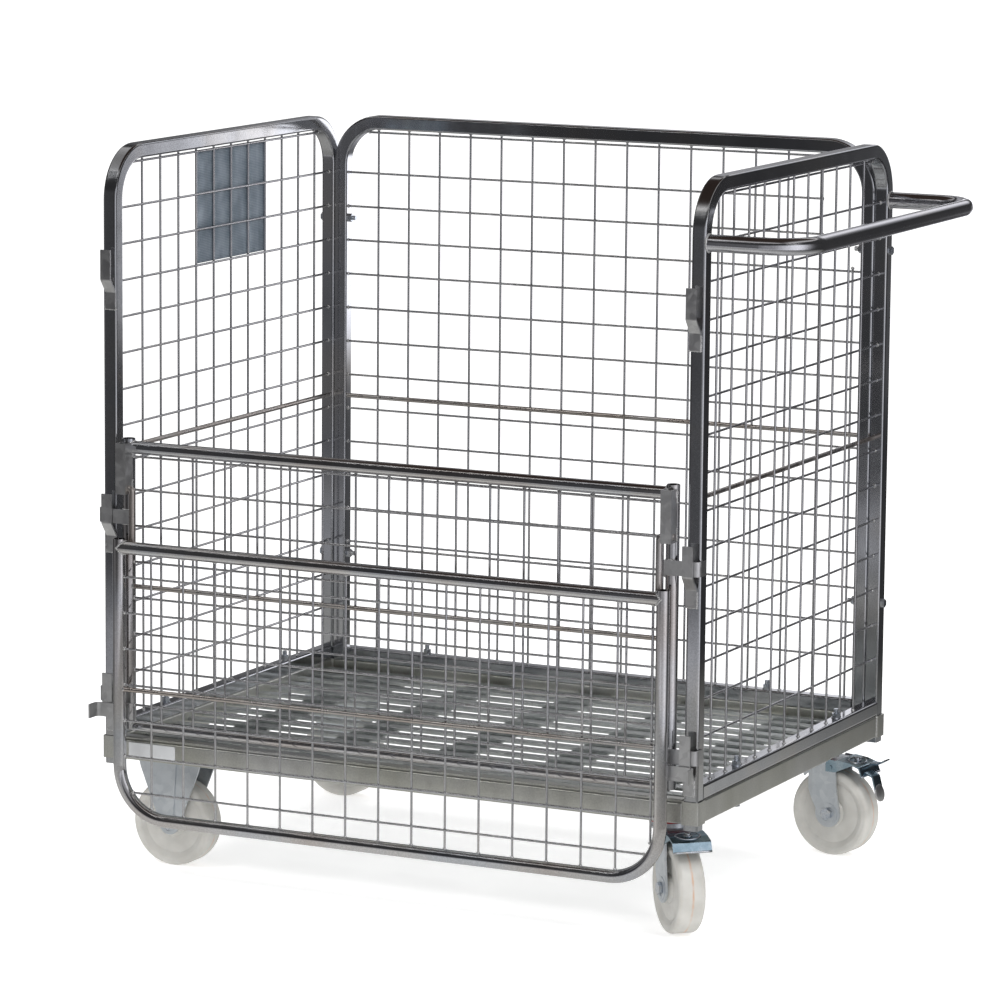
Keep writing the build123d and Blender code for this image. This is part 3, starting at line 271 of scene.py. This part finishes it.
def embossed_plate(name):
    """Blue-grey plate with a fine stamped diamond hatch and a rubbed, cloudy surface."""
    surface = Surface(name, 0.35, 0.5)
    axes = surface.node("ShaderNodeSeparateXYZ")
    surface.link(surface.place, axes.inputs["Vector"])
    waves = []
    for operation in ("ADD", "SUBTRACT"):
        slant = surface.maths(axes.outputs["Y"], axes.outputs["Z"], operation)
        waves.append(surface.maths(surface.maths(slant, HATCH_TURNS, "MULTIPLY"), 0.0, "SINE"))
    hatch = surface.maths(waves[0], waves[1], "MULTIPLY")
    worn = surface.maths(hatch, surface.uneven(24, 5, -0.7, 0.7))
    raised = surface.span(worn, -0.8, 0.9, 0.0, 1.0)
    tone = surface.ramp(raised, list(zip((0.1, 0.9), PLATE_TONES)))
    rubbed = surface.noise(20, 5, (1, 4, 0.4))
    streaks = surface.ramp(rubbed, list(zip(NOISE_BAND, PLATE_STREAKS)))
    surface.paint(surface.blend(1.0, tone, streaks, "MULTIPLY"))
    surface.polish(surface.uneven(50, 4, *PLATE_ROUGH))
    surface.relief(hatch, HATCH_DEPTH)
    return surface.material


# Plated zinc: colours of the passivation patches, roughness from and to, patches to the metre.
PLATED = {
    "tube_zinc": (((0.44, 0.45, 0.47), (0.52, 0.53, 0.55), (0.56, 0.55, 0.54)), (0.08, 0.15), 7),
    "round_tube_zinc": (((0.56, 0.52, 0.50), (0.61, 0.60, 0.60), (0.57, 0.59, 0.63)), (0.06, 0.12), 7),
    "rod_zinc": (((0.46, 0.40, 0.36), (0.52, 0.48, 0.45), (0.52, 0.51, 0.51)), (0.22, 0.36), 7),
    "wire_zinc": (((0.50, 0.50, 0.52), (0.58, 0.58, 0.60), (0.64, 0.63, 0.63)), (0.16, 0.28), 7),
    "handle_zinc": (((0.62, 0.62, 0.65), (0.68, 0.68, 0.71), (0.72, 0.71, 0.71)), (0.07, 0.14), 7),
    "base_zinc": (((0.50, 0.50, 0.44), (0.58, 0.58, 0.54), (0.63, 0.63, 0.62)), (0.28, 0.42), 5),
    "fastener_zinc": (((0.50, 0.55, 0.62), (0.62, 0.66, 0.72), (0.68, 0.68, 0.68)), (0.18, 0.32), 60),
    "pedal_zinc": (((0.18, 0.26, 0.31), (0.27, 0.36, 0.42), (0.42, 0.48, 0.52)), (0.16, 0.30), 30),
    "weld_zinc": (((0.62, 0.62, 0.61), (0.78, 0.78, 0.78), (0.84, 0.83, 0.81)), (0.24, 0.42), 160),
}
# Galvanised sheet: dark and light tone, roughness from and to.
SHEETS = {
    "deck_zinc": ((0.42, 0.44, 0.44), (0.60, 0.62, 0.61), (0.38, 0.52)),
    "strap_zinc": ((0.50, 0.50, 0.50), (0.68, 0.68, 0.68), (0.30, 0.44)),
    "caster_zinc": ((0.60, 0.64, 0.68), (0.74, 0.77, 0.80), (0.32, 0.46)),
}
# Moulded plastic and foil: tone, its shade, roughness from and to.
MOULDED = {
    "seal_plastic": ((0.42, 0.035, 0.04), (0.26, 0.02, 0.03), (0.3, 0.5)),
    "label_foil": ((0.62, 0.63, 0.64), (0.50, 0.51, 0.52), (0.25, 0.4)),
}
FINISHES = {name: zinc(name, *look) for name, look in PLATED.items()}
FINISHES.update({name: galvanised(name, *look) for name, look in SHEETS.items()})
FINISHES.update({name: moulded(name, *look) for name, look in MOULDED.items()})
FINISHES["info_plate"] = embossed_plate("info_plate")
WELD = FINISHES["weld_zinc"]


def dress_nodes():
    """Give every CAD node the finish of its record slot; each wheel gets its own nylon."""
    wanted = {part["node"]: part["material_slot"] for part in frame["record"]["subparts"]}
    for name, piece in frame["nodes"].items():
        slot = wanted[name]
        if slot == "wheel_nylon":
            finish = nylon_wheel(f"nylon_{name}", JOINTS[f"{name}_spin"])
        else:
            finish = FINISHES[slot]
        if not piece.material_slots:
            piece.data.materials.append(finish)
        for material_slot in piece.material_slots:
            material_slot.material = finish


# ---- mesh helpers -----------------------------------------------------------------------
def make_piece(name, mesh_maker, material, body):
    """A new smooth-shaded piece from a bmesh, riding on a body."""
    work = bmesh.new()
    mesh_maker(work)
    mesh = bpy.data.meshes.new(name)
    work.to_mesh(mesh)
    work.free()
    for polygon in mesh.polygons:
        polygon.use_smooth = True
    mesh.materials.append(material)
    piece = bpy.data.objects.new(name, mesh)
    bpy.context.scene.collection.objects.link(piece)
    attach(piece, body)


def islands(node):
    """Box of each separate solid in a CAD node, as (low, high) corners."""
    mesh = frame["nodes"][node].data
    work = bmesh.new()
    work.from_mesh(mesh)
    bmesh.ops.remove_doubles(work, verts=work.verts, dist=1e-6)
    seen = set()
    boxes = []
    for start in work.verts:
        if start.index in seen:
            continue
        stack = [start]
        seen.add(start.index)
        low = start.co.copy()
        high = start.co.copy()
        while stack:
            vertex = stack.pop()
            low = Vector(map(min, low, vertex.co))
            high = Vector(map(max, high, vertex.co))
            for edge in vertex.link_edges:
                other = edge.other_vert(vertex)
                if other.index not in seen:
                    seen.add(other.index)
                    stack.append(other)
        boxes.append((low, high))
    work.free()
    return boxes


# ---- welds and threads ------------------------------------------------------------------
BEAD_ROUGH = 0.18          # how unevenly a bead's drops sit
WIRE_DROP = 0.0037
ROD_DROP = 0.0046
END_SQUASH = 0.8           # a wire's end drop, along the wire
BEAD_DROP = 0.0021
BASE_DROP = BEAD_DROP * 0.8
BRACKET_DROP = BEAD_DROP * 0.9
DROP_STEP = 0.0023
KEEPER_BEAD = 0.024        # length of the bead up a keeper's foot
KEEPER_BEAD_PROUD = 0.001
BASE_BEAD_FROM = 0.003     # base beads, from the rail's lower edge
BASE_BEAD_TO = 0.033
HOOK_STITCHES = 3          # drops to either side of a hook's middle
BRACKET_BEAD = 0.018
BRACKET_BEAD_FROM = 0.004  # above the bracket's foot, and below its top
BRACKET_BEAD_TOP = 0.022
TUBE_R = 0.011
SUNK_RAIL_R = 0.008
HANDLE_R = 0.014
GATE_RAIL_DROP = 0.015     # top rail's centre below the top of the gate's posts
FLAP_RAIL_DROP = 0.0147
BOLT_R = 0.0038
THREAD_PITCH = 0.00125
THREAD_CREST = 0.0004
THREAD_SIDES = 20
FOOT_THREAD = (0.0085, 0.008)       # where a thread starts behind the bolt's tip, and its length
CORNER_THREAD = (0.0045, 0.0042)

BAR_SIDES = 10
OVAL_POINTS = 40
OVAL_MIDDLE = 0.086
OVAL_HALF = (0.013, 0.021)
OVAL_BAR = 0.0016
# The pedal's upper face from the swivel's axis outwards: distance and height.
PEDAL_TOP = ((0.063, 0.1719), (0.070, 0.1714), (0.089, 0.1691), (0.106, 0.1643))
PEDAL_EDGE = (0.112, 0.148)
PEDAL_HALF = 0.033
LIP_BAR = 0.0019
LIP_STEPS = 8
PEDAL_BOLT = ((0.0075, 0.0022, 32), (0.0052, 0.0062, 6))    # washer and head: radius, height, sides
PEDAL_BOLT_SUNK = 0.001
PEDAL_BOLT_TAPER = 0.9
DISC_X = 0.1343                                             # from the swivel's axis, towards the wheel
DISC_Y = -0.007
DISC_Z = 0.119
DISC_TILT = 0.27                                            # rise of the disc's axis to its run
DISC_SIDES = 48
DISC_LAYERS = (                                             # radii, thickness, offset
    (0.0140, 0.0150, 0.0006, -0.0014),
    (0.0150, 0.0150, 0.0022, 0.0),
    (0.0150, 0.0140, 0.0006, 0.0014),
)

# Wire mesh and rods: name of the welds, the body that they ride on, and the framed panels.
PANELS = (
    ("cage", "cage", ("left_panel", "right_panel", "back_panel")),
    ("gate", "front_gate", ("gate",)),
    ("flap", "folding_flap", ("flap",)),
)

dice = random.Random(4)


def drop(work, place, size, squash=(1, 1, 1)):
    """One frozen drop of weld metal."""
    rough = [size * s * (1 + BEAD_ROUGH * dice.uniform(-1, 1)) for s in squash]
    shape = Matrix.Diagonal((*rough, 1))
    bmesh.ops.create_icosphere(work, subdivisions=1, radius=1.0, matrix=Matrix.Translation(place) @ shape)


def drops_along(work, start, end, size):
    """Bead of drops from start to end."""
    count = max(2, round((end - start).length / DROP_STEP))
    for i in range(count):
        wander = Vector([dice.uniform(-1, 1) * size * BEAD_ROUGH for _ in range(3)])
        drop(work, start.lerp(end, i / (count - 1)) + wander, size)


def wire_ends(nodes, size):
    """A drop at both ends of every wire or rod of some nodes."""

    def build(work):
        for node in nodes:
            for low, high in islands(node):
                span = high - low
                axis = max(range(3), key=lambda k: span[k])
                middle = (low + high) / 2
                squash = [1.0, 1.0, 1.0]
                squash[axis] = END_SQUASH
                for end in (low, high):
                    place = middle.copy()
                    place[axis] = end[axis]
                    drop(work, place, size, squash)

    return build


def rail_joints(posts, joints):
    """Beads round the ends of rails along X, on two upright posts of round tube."""
    low, high = posts
    y = (low.y + high.y) / 2

    def build(work):
        for z, radius in joints:
            for post, side in ((low.x + TUBE_R, 1), (high.x - TUBE_R, -1)):
                count = round(2 * math.pi * radius / DROP_STEP)
                for i in range(count):
                    angle = 2 * math.pi * i / count
                    dy = radius * math.cos(angle)
                    reach = math.sqrt(max(TUBE_R ** 2 - dy ** 2, 0))
                    place = Vector((post + side * reach, y + dy, z + radius * math.sin(angle)))
                    drop(work, place, BEAD_DROP)

    return build


def ring_on_face(work, centre, radius):
    """Bead round a tube that meets a flat face across X."""
    count = round(2 * math.pi * radius / DROP_STEP)
    for i in range(count):
        angle = 2 * math.pi * i / count
        drop(work, centre + Vector((0, math.cos(angle), math.sin(angle))) * radius, BEAD_DROP)


def cage_beads(work):
    """Beads at the handle's feet, the keepers and the corners of the base."""
    handle_low, handle_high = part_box("push_handle")
    level = (handle_low.z + handle_high.z) / 2
    for y in (handle_low.y + HANDLE_R, handle_high.y - HANDLE_R):
        ring_on_face(work, Vector((handle_low.x, y, level)), HANDLE_R)
    for node, outside in (("gate_keepers_left", -1), ("gate_keepers_right", 1)):
        for low, high in islands(node):
            edge = low.x if outside < 0 else high.x
            inner = high.x if outside < 0 else low.x
            foot = Vector((edge, RIGHT_LOW.y - KEEPER_BEAD_PROUD, low.z))
            drops_along(work, foot, foot + Vector((0, 0, KEEPER_BEAD)), BEAD_DROP)
            drops_along(work, foot, Vector((inner, foot.y, low.z)), BEAD_DROP)
    for node in ("base_rail_front", "base_rail_rear"):
        low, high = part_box(node)
        face = low.y if node == "base_rail_front" else high.y
        for x in (low.x, high.x):
            foot = Vector((x, face, low.z + BASE_BEAD_FROM))
            drops_along(work, foot, Vector((x, face, low.z + BASE_BEAD_TO)), BASE_DROP)
    for node in ("base_rail_left", "base_rail_right"):
        low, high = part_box(node)
        face = low.x if node == "base_rail_left" else high.x
        for y in (low.y, high.y):
            foot = Vector((face, y, low.z + BASE_BEAD_FROM))
            drops_along(work, foot, Vector((face, y, high.z - BASE_BEAD_FROM)), BASE_DROP)


def gate_beads(work):
    """Stitches along the hooks and pivot brackets, on the front of the gate's posts."""
    low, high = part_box("gate_frame")
    y = (low.y + high.y) / 2
    for strap_low, strap_high in islands("gate_hooks"):
        post = low.x + TUBE_R if strap_low.x < CAGE.x else high.x - TUBE_R
        for z in (strap_low.z, strap_high.z):
            for i in range(-HOOK_STITCHES, HOOK_STITCHES + 1):
                dx = i * DROP_STEP
                drop(work, Vector((post + dx, y - math.sqrt(TUBE_R ** 2 - dx ** 2), z)), BEAD_DROP)
    for bracket_low, bracket_high in islands("pivot_brackets"):
        post = (bracket_low.x + bracket_high.x) / 2
        for x in (bracket_low.x, bracket_high.x):
            dx = x - post
            front = y - math.sqrt(max(TUBE_R ** 2 - dx ** 2, 0))
            for z in (bracket_low.z + BRACKET_BEAD_FROM, bracket_high.z - BRACKET_BEAD_TOP):
                drops_along(work, Vector((x, front, z)), Vector((x, front, z + BRACKET_BEAD)), BRACKET_DROP)


def thread(work, start, along, length):
    """Rounded crests of a screw thread, one ring to each turn."""
    spin = along.to_track_quat("Z", "Y").to_matrix().to_4x4()
    turns = int(length / THREAD_PITCH)
    for i in range(turns):
        centre = start + along * (i + 0.5) * THREAD_PITCH
        waist = Matrix.Translation(centre) @ spin
        for part in (-1, 1):
            bmesh.ops.create_cone(
                work, cap_ends=False, segments=THREAD_SIDES,
                radius1=BOLT_R + (THREAD_CREST if part > 0 else 0),
                radius2=BOLT_R + (THREAD_CREST if part < 0 else 0),
                depth=THREAD_PITCH / 2,
                matrix=waist @ Matrix.Translation((0, 0, part * THREAD_PITCH / 4)),
            )


def bolt_threads(work):
    """Threads on the ends of the bolts that stand out of their nuts."""
    for low, high in islands("foot_bolts"):
        tip = Vector(((low.x + high.x) / 2, (low.y + high.y) / 2, high.z))
        thread(work, tip - Vector((0, 0, FOOT_THREAD[0])), Vector((0, 0, 1)), FOOT_THREAD[1])
    for low, high in islands("corner_bolts"):
        inward = 1 if low.x < CAGE.x else -1
        end = high.x if inward > 0 else low.x
        tip = Vector((end, (low.y + high.y) / 2, (low.z + high.z) / 2))
        start = tip - Vector((inward * CORNER_THREAD[0], 0, 0))
        thread(work, start, Vector((inward, 0, 0)), CORNER_THREAD[1])


def tube_loop(work, points, radius, closed=True):
    """Round bar along a line of points."""
    rings = []
    count = len(points)
    for i, point in enumerate(points):
        before = points[i - 1] if closed or i > 0 else point
        after = points[(i + 1) % count] if closed or i < count - 1 else point
        along = (after - before).normalized()
        across = along.cross(Vector((0, 0, 1))).normalized()
        upward = across.cross(along)
        ring = []
        for k in range(BAR_SIDES):
            angle = 2 * math.pi * k / BAR_SIDES
            outward = across * math.cos(angle) + upward * math.sin(angle)
            ring.append(work.verts.new(point + outward * radius))
        rings.append(ring)
    for i in range(count if closed else count - 1):
        first, second = rings[i], rings[(i + 1) % count]
        for k in range(BAR_SIDES):
            other = (k + 1) % BAR_SIDES
            work.faces.new((first[k], first[other], second[other], second[k]))
    if not closed:
        work.faces.new(list(reversed(rings[0])))
        work.faces.new(rings[-1])


def pedal_level(x):
    """Height of the pedal's upper face at a distance from the swivel's axis."""
    for (start, start_z), (end, end_z) in zip(PEDAL_TOP, PEDAL_TOP[1:]):
        if x <= end:
            return start_z + (end_z - start_z) * (x - start) / (end - start)
    return PEDAL_TOP[-1][1]


def swivel_axes(end):
    """A swivel's pivot, the level direction from it to the wheel, and the one across."""
    pivot = Vector(JOINTS[f"swivel_{end}_turn"]["pos_m"])
    axle = Vector(JOINTS[f"swivel_wheel_{end}_spin"]["pos_m"])
    along = Vector((axle.x - pivot.x, axle.y - pivot.y, 0)).normalized()
    return pivot, along, Vector((-along.y, along.x, 0))


def pedal_details(end):
    """Pressed oval, centre bolt and rolled lip on a brake pedal."""
    pivot, along, across = swivel_axes(end)

    def at(x, y, z):
        return Vector((pivot.x, pivot.y, z)) + along * x + across * y

    def build(work):
        oval = []
        for i in range(OVAL_POINTS):
            angle = 2 * math.pi * i / OVAL_POINTS
            x = OVAL_MIDDLE + OVAL_HALF[0] * math.cos(angle)
            oval.append(at(x, OVAL_HALF[1] * math.sin(angle), pedal_level(x)))
        tube_loop(work, oval, OVAL_BAR)
        edge_x, edge_z = PEDAL_EDGE
        half = PEDAL_HALF
        lip = [at(edge_x, -half + 2 * half * i / LIP_STEPS, edge_z) for i in range(LIP_STEPS + 1)]
        tube_loop(work, lip, LIP_BAR, closed=False)
        centre = at(OVAL_MIDDLE, 0, pedal_level(OVAL_MIDDLE) - PEDAL_BOLT_SUNK)
        for radius, height, sides in PEDAL_BOLT:
            bmesh.ops.create_cone(
                work, cap_ends=True, segments=sides, radius1=radius, radius2=radius * PEDAL_BOLT_TAPER,
                depth=height, matrix=Matrix.Translation(centre + Vector((0, 0, height / 2))),
            )

    return build


def release_disc(work):
    """Round finger plate at the end of the rear brake's release lever."""
    pivot, along, across = swivel_axes("rear")
    centre = Vector((pivot.x, pivot.y, 0)) + along * DISC_X + across * DISC_Y + Vector((0, 0, DISC_Z))
    facing = (along + Vector((0, 0, DISC_TILT))).to_track_quat("Z", "Y").to_matrix().to_4x4()
    place = Matrix.Translation(centre) @ facing
    for radius, other, thick, lift in DISC_LAYERS:
        bmesh.ops.create_cone(
            work, cap_ends=True, segments=DISC_SIDES, radius1=radius, radius2=other, depth=thick,
            matrix=place @ Matrix.Translation((0, 0, lift)),
        )


def add_joinery():
    """The welds, threads and pedal details, in the order of the dice's draws."""
    for title, body, panels in PANELS:
        wires = wire_ends([f"{panel}_mesh" for panel in panels], WIRE_DROP)
        make_piece(f"{title}_wire_welds", wires, WELD, body)
        rods = wire_ends([f"{panel}_mid_rod" for panel in panels], ROD_DROP)
        make_piece(f"{title}_rod_welds", rods, WELD, body)
    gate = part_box("gate_frame")
    gate_rails = ((gate[1].z - GATE_RAIL_DROP, TUBE_R), (gate[0].z + SUNK_RAIL_R, SUNK_RAIL_R))
    make_piece("gate_rail_welds", rail_joints(gate, gate_rails), WELD, "front_gate")
    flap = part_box("flap_frame")
    flap_rails = ((flap[1].z - FLAP_RAIL_DROP, TUBE_R),)
    make_piece("flap_rail_welds", rail_joints(flap, flap_rails), WELD, "folding_flap")
    make_piece("gate_strap_welds", gate_beads, WELD, "front_gate")
    make_piece("cage_welds", cage_beads, WELD, "cage")
    make_piece("bolt_threads", bolt_threads, FINISHES["fastener_zinc"], "cage")
    for end in ("front", "rear"):
        detail = FINISHES["fastener_zinc"]
        make_piece(f"pedal_detail_{end}", pedal_details(end), detail, f"pedal_{end}")
    make_piece("release_disc", release_disc, FINISHES["strap_zinc"], "pedal_rear")


# ---- camera and studio ------------------------------------------------------------------
CAMERA_FROM_CAGE = Vector((3.6346, -7.4529, 1.982))
CAMERA_YAW = 26.01
CAMERA_PITCH = 9.30
CAMERA_ROLL = 0.507
CAMERA_LENS = 176.8
SENSOR_WIDTH = 36.0
CAMERA_REACH = 200.0

FLOOR_HALF = 70.0
FLOOR_TONES = ((0.90, 0.90, 0.90), (0.93, 0.93, 0.93))
FLOOR_EMISSION = 0.46
WORLD_GLOW = 0.80
TENT_RADIUS = 2.25
TENT_HEIGHT = 2.9
TENT_SIDES = 120
TENT_ROWS = 58
CARD_STEPS = 60
CARD_LIFT = 0.0004
CURTAIN_GLOW = 0.042
CURTAIN_TINT = (1.0, 1.0, 1.05)
CEILING_COLOUR = (0.040, 0.029, 0.025)
CEILING_STRIP_REACH = 1.80
CEILING_STRIP_WIDTH = 0.34
CEILING_STRIP_GLOW = 0.55
# Softboxes on the curtain: azimuth, reach before and after it in degrees, bottom, top, glow.
SOFTBOXES = (
    (-24, 34, 17, -1.0, 1.75, 1.00),
    (-80, 14, 14, -1.0, 1.60, 0.22),
    (-95, 55, 40, -1.0, 0.16, 0.50),
    (-142, 12, 12, -1.0, 1.50, 0.14),
    (76, 12, 12, 1.72, 2.45, 0.95),
    (80, 11, 20, 0.55, 1.30, 2.10),
    (112, 20, 20, 1.35, 2.40, 0.38),
    (112, 24, 30, -1.0, 0.60, 0.45),
    (160, 14, 14, -1.0, 1.40, 0.30),
)
SOFT_EDGE = 0.12
# Lit floor: a pool under the cage and paper round it, each with its reach and how sharply it ends.
CAGE_HALF = (0.55, 0.40)
UNDER_GLOW = 0.30
UNDER_REACH = 0.75
UNDER_FALL = 6
PAPER_GLOW = 0.36
SIDE_PAPER = 0.45
PAPER_REACH = 1.30
FRONT_PAPER_REACH = 3.2
PAPER_FALL = 8
FRONT_AZIMUTH = -105
FRONT_SPREAD = 60
FLOOR_TINT = (1.0, 1.0, 0.98)
LIGHT_AIM = 0.6            # height of the point that the lamps face
# Lamps: name, place from the cage's centre, size, watts.
LIGHTS = (
    ("key", (-1.6, -2.4, 3.4), (1.6, 0.5), 34),
    ("fill", (2.6, -1.4, 2.6), (1.0, 1.4), 32),
    ("back", (0.4, 2.8, 3.2), (2.2, 0.4), 24),
)


def place_camera():
    """Long lens in front of the cage and to the right of it, looking slightly down."""
    data = bpy.data.cameras.new("camera")
    data.lens = CAMERA_LENS
    data.sensor_width = SENSOR_WIDTH
    data.clip_end = CAMERA_REACH
    camera = bpy.data.objects.new("camera", data)
    bpy.context.scene.collection.objects.link(camera)
    turn = Matrix.Rotation(math.radians(CAMERA_YAW), 4, "Z")
    tip = Matrix.Rotation(math.radians(90 - CAMERA_PITCH), 4, "X")
    roll = Matrix.Rotation(math.radians(CAMERA_ROLL), 4, "Z")
    camera.matrix_world = Matrix.Translation(CAGE + CAMERA_FROM_CAGE) @ turn @ tip @ roll
    bpy.context.scene.camera = camera


def stage_mesh(name, corners, faces, material):
    """A mesh that belongs to the studio and not to the object."""
    mesh = bpy.data.meshes.new(name)
    mesh.from_pydata(corners, [], faces)
    mesh.materials.append(material)
    piece = bpy.data.objects.new(name, mesh)
    bpy.context.scene.collection.objects.link(piece)
    return piece


def hump(offset, width):
    """Bell curve, 1 in the middle."""
    return math.exp(-((offset / width) ** 2))


def glow_material():
    """Emission in the colour that each corner carries."""
    material = bpy.data.materials.new("studio_glow")
    material.use_nodes = True
    tree = material.node_tree
    tree.nodes.clear()
    corner_colour = tree.nodes.new("ShaderNodeAttribute")
    corner_colour.attribute_name = "glow"
    emission = tree.nodes.new("ShaderNodeEmission")
    output = tree.nodes.new("ShaderNodeOutputMaterial")
    tree.links.new(corner_colour.outputs["Color"], emission.inputs["Color"])
    tree.links.new(emission.outputs["Emission"], output.inputs["Surface"])
    return material


def reflected_only(name, corners, faces, colours, material):
    """A glowing card that only the reflections of the object see."""
    card = stage_mesh(name, corners, faces, material)
    layer = card.data.color_attributes.new("glow", "FLOAT_COLOR", "POINT")
    for point, colour in zip(layer.data, colours):
        point.color = (*colour, 1)
    card.visible_camera = False
    card.visible_diffuse = False
    card.visible_shadow = False
    card.visible_transmission = False


def studio_floor():
    """Wide pale floor that the camera sees and the metal doesn't."""
    surface = Surface("floor", 0.0, 0.7)
    surface.paint(surface.ramp(surface.noise(2, 3), list(zip(NOISE_BAND, FLOOR_TONES))))
    surface.shader.inputs["Emission Color"].default_value = (1, 1, 1, 1)
    surface.shader.inputs["Emission Strength"].default_value = FLOOR_EMISSION
    surface.shader.inputs["Specular IOR Level"].default_value = 0.1
    size = FLOOR_HALF
    corners = [(-size, -size, 0), (size, -size, 0), (size, size, 0), (-size, size, 0)]
    floor = stage_mesh("floor", corners, [(0, 1, 2, 3)], surface.material)
    floor.visible_glossy = False


def turn_between(first, second):
    """Signed degrees from the second azimuth to the first, at most half a turn."""
    return (first - second + 180) % 360 - 180


def step_up(value, middle, width):
    """Smooth rise from 0 to 1 round the middle."""
    return 1 / (1 + math.exp(-4 * (value - middle) / width))


def curtain_colour(azimuth, height):
    """Dark curtain with the softboxes' glow on it."""
    glow = CURTAIN_GLOW
    for middle, before, after, bottom, top, strength in SOFTBOXES:
        apart = turn_between(azimuth, middle)
        level = step_up(height, bottom, SOFT_EDGE) * step_up(-height, -top, SOFT_EDGE)
        glow += strength * level * hump(apart, before if apart < 0 else after)
    return tuple(glow * tint for tint in CURTAIN_TINT)


def ceiling_colour(flat):
    """Brownish dark with a ring of lamps."""
    from_ring = max(abs(flat.x), abs(flat.y)) - CEILING_STRIP_REACH
    lamps = CEILING_STRIP_GLOW * hump(from_ring, CEILING_STRIP_WIDTH)
    return tuple(channel + lamps for channel in CEILING_COLOUR)


def floor_colour(flat):
    """Half-lit paper under the cage, brighter in front, that fades into the dark of the studio."""
    outside = Vector((max(abs(flat.x) - CAGE_HALF[0], 0), max(abs(flat.y) - CAGE_HALF[1], 0))).length
    azimuth = math.degrees(math.atan2(flat.y, flat.x))
    facing = hump(turn_between(azimuth, FRONT_AZIMUTH), FRONT_SPREAD)
    reach = PAPER_REACH + (FRONT_PAPER_REACH - PAPER_REACH) * facing
    paper = PAPER_GLOW * (SIDE_PAPER + (1 - SIDE_PAPER) * facing) / (1 + (outside / reach) ** PAPER_FALL)
    glow = CURTAIN_GLOW + UNDER_GLOW / (1 + (outside / UNDER_REACH) ** UNDER_FALL) + paper
    return tuple(glow * tint for tint in FLOOR_TINT)


def level_card(name, height, colour_at, material):
    """Square card over the whole tent, coloured point by point."""
    corners = []
    colours = []
    for row in range(CARD_STEPS + 1):
        for column in range(CARD_STEPS + 1):
            flat = Vector((column / CARD_STEPS - 0.5, row / CARD_STEPS - 0.5, 0)) * 2 * TENT_RADIUS
            corners.append(CAGE + flat + Vector((0, 0, height)))
            colours.append(colour_at(flat))
    tiles = []
    for row in range(CARD_STEPS):
        for column in range(CARD_STEPS):
            start = row * (CARD_STEPS + 1) + column
            tiles.append((start, start + 1, start + CARD_STEPS + 2, start + CARD_STEPS + 1))
    reflected_only(name, corners, tiles, colours, material)


def studio_tent():
    """Dark curtain with softboxes, ceiling and lit floor round the object, for the metal to mirror."""
    material = glow_material()
    corners = []
    colours = []
    for row in range(TENT_ROWS + 1):
        level = TENT_HEIGHT * row / TENT_ROWS
        for i in range(TENT_SIDES):
            angle = 2 * math.pi * i / TENT_SIDES
            outward = Vector((math.cos(angle), math.sin(angle), 0))
            corners.append(CAGE + outward * TENT_RADIUS + Vector((0, 0, level)))
            colours.append(curtain_colour(math.degrees(angle), level))
    faces = []
    for row in range(TENT_ROWS):
        for i in range(TENT_SIDES):
            start = row * TENT_SIDES
            after = (i + 1) % TENT_SIDES
            faces.append((start + i, start + after, start + TENT_SIDES + after, start + TENT_SIDES + i))
    reflected_only("curtain", corners, faces, colours, material)
    level_card("ceiling", TENT_HEIGHT, ceiling_colour, material)
    level_card("lit_floor", CARD_LIFT, floor_colour, material)


def area_light(name, place, target, size, power):
    """Rectangular lamp at a place, facing the target."""
    data = bpy.data.lights.new(name, "AREA")
    data.shape = "RECTANGLE"
    data.size, data.size_y = size
    data.energy = power
    light = bpy.data.objects.new(name, data)
    bpy.context.scene.collection.objects.link(light)
    light.location = place
    light.rotation_euler = (target - light.location).to_track_quat("-Z", "Y").to_euler()


def studio():
    """White world, floor, tent and three soft lamps."""
    world = bpy.data.worlds.new("studio")
    bpy.context.scene.world = world
    world.use_nodes = True
    background = world.node_tree.nodes["Background"]
    background.inputs["Color"].default_value = (1, 1, 1, 1)
    background.inputs["Strength"].default_value = WORLD_GLOW
    studio_floor()
    studio_tent()
    target = CAGE + Vector((0, 0, LIGHT_AIM))
    for name, place, size, power in LIGHTS:
        area_light(name, CAGE + Vector(place), target, size, power)


place_camera()
dress_nodes()
add_joinery()
studio()
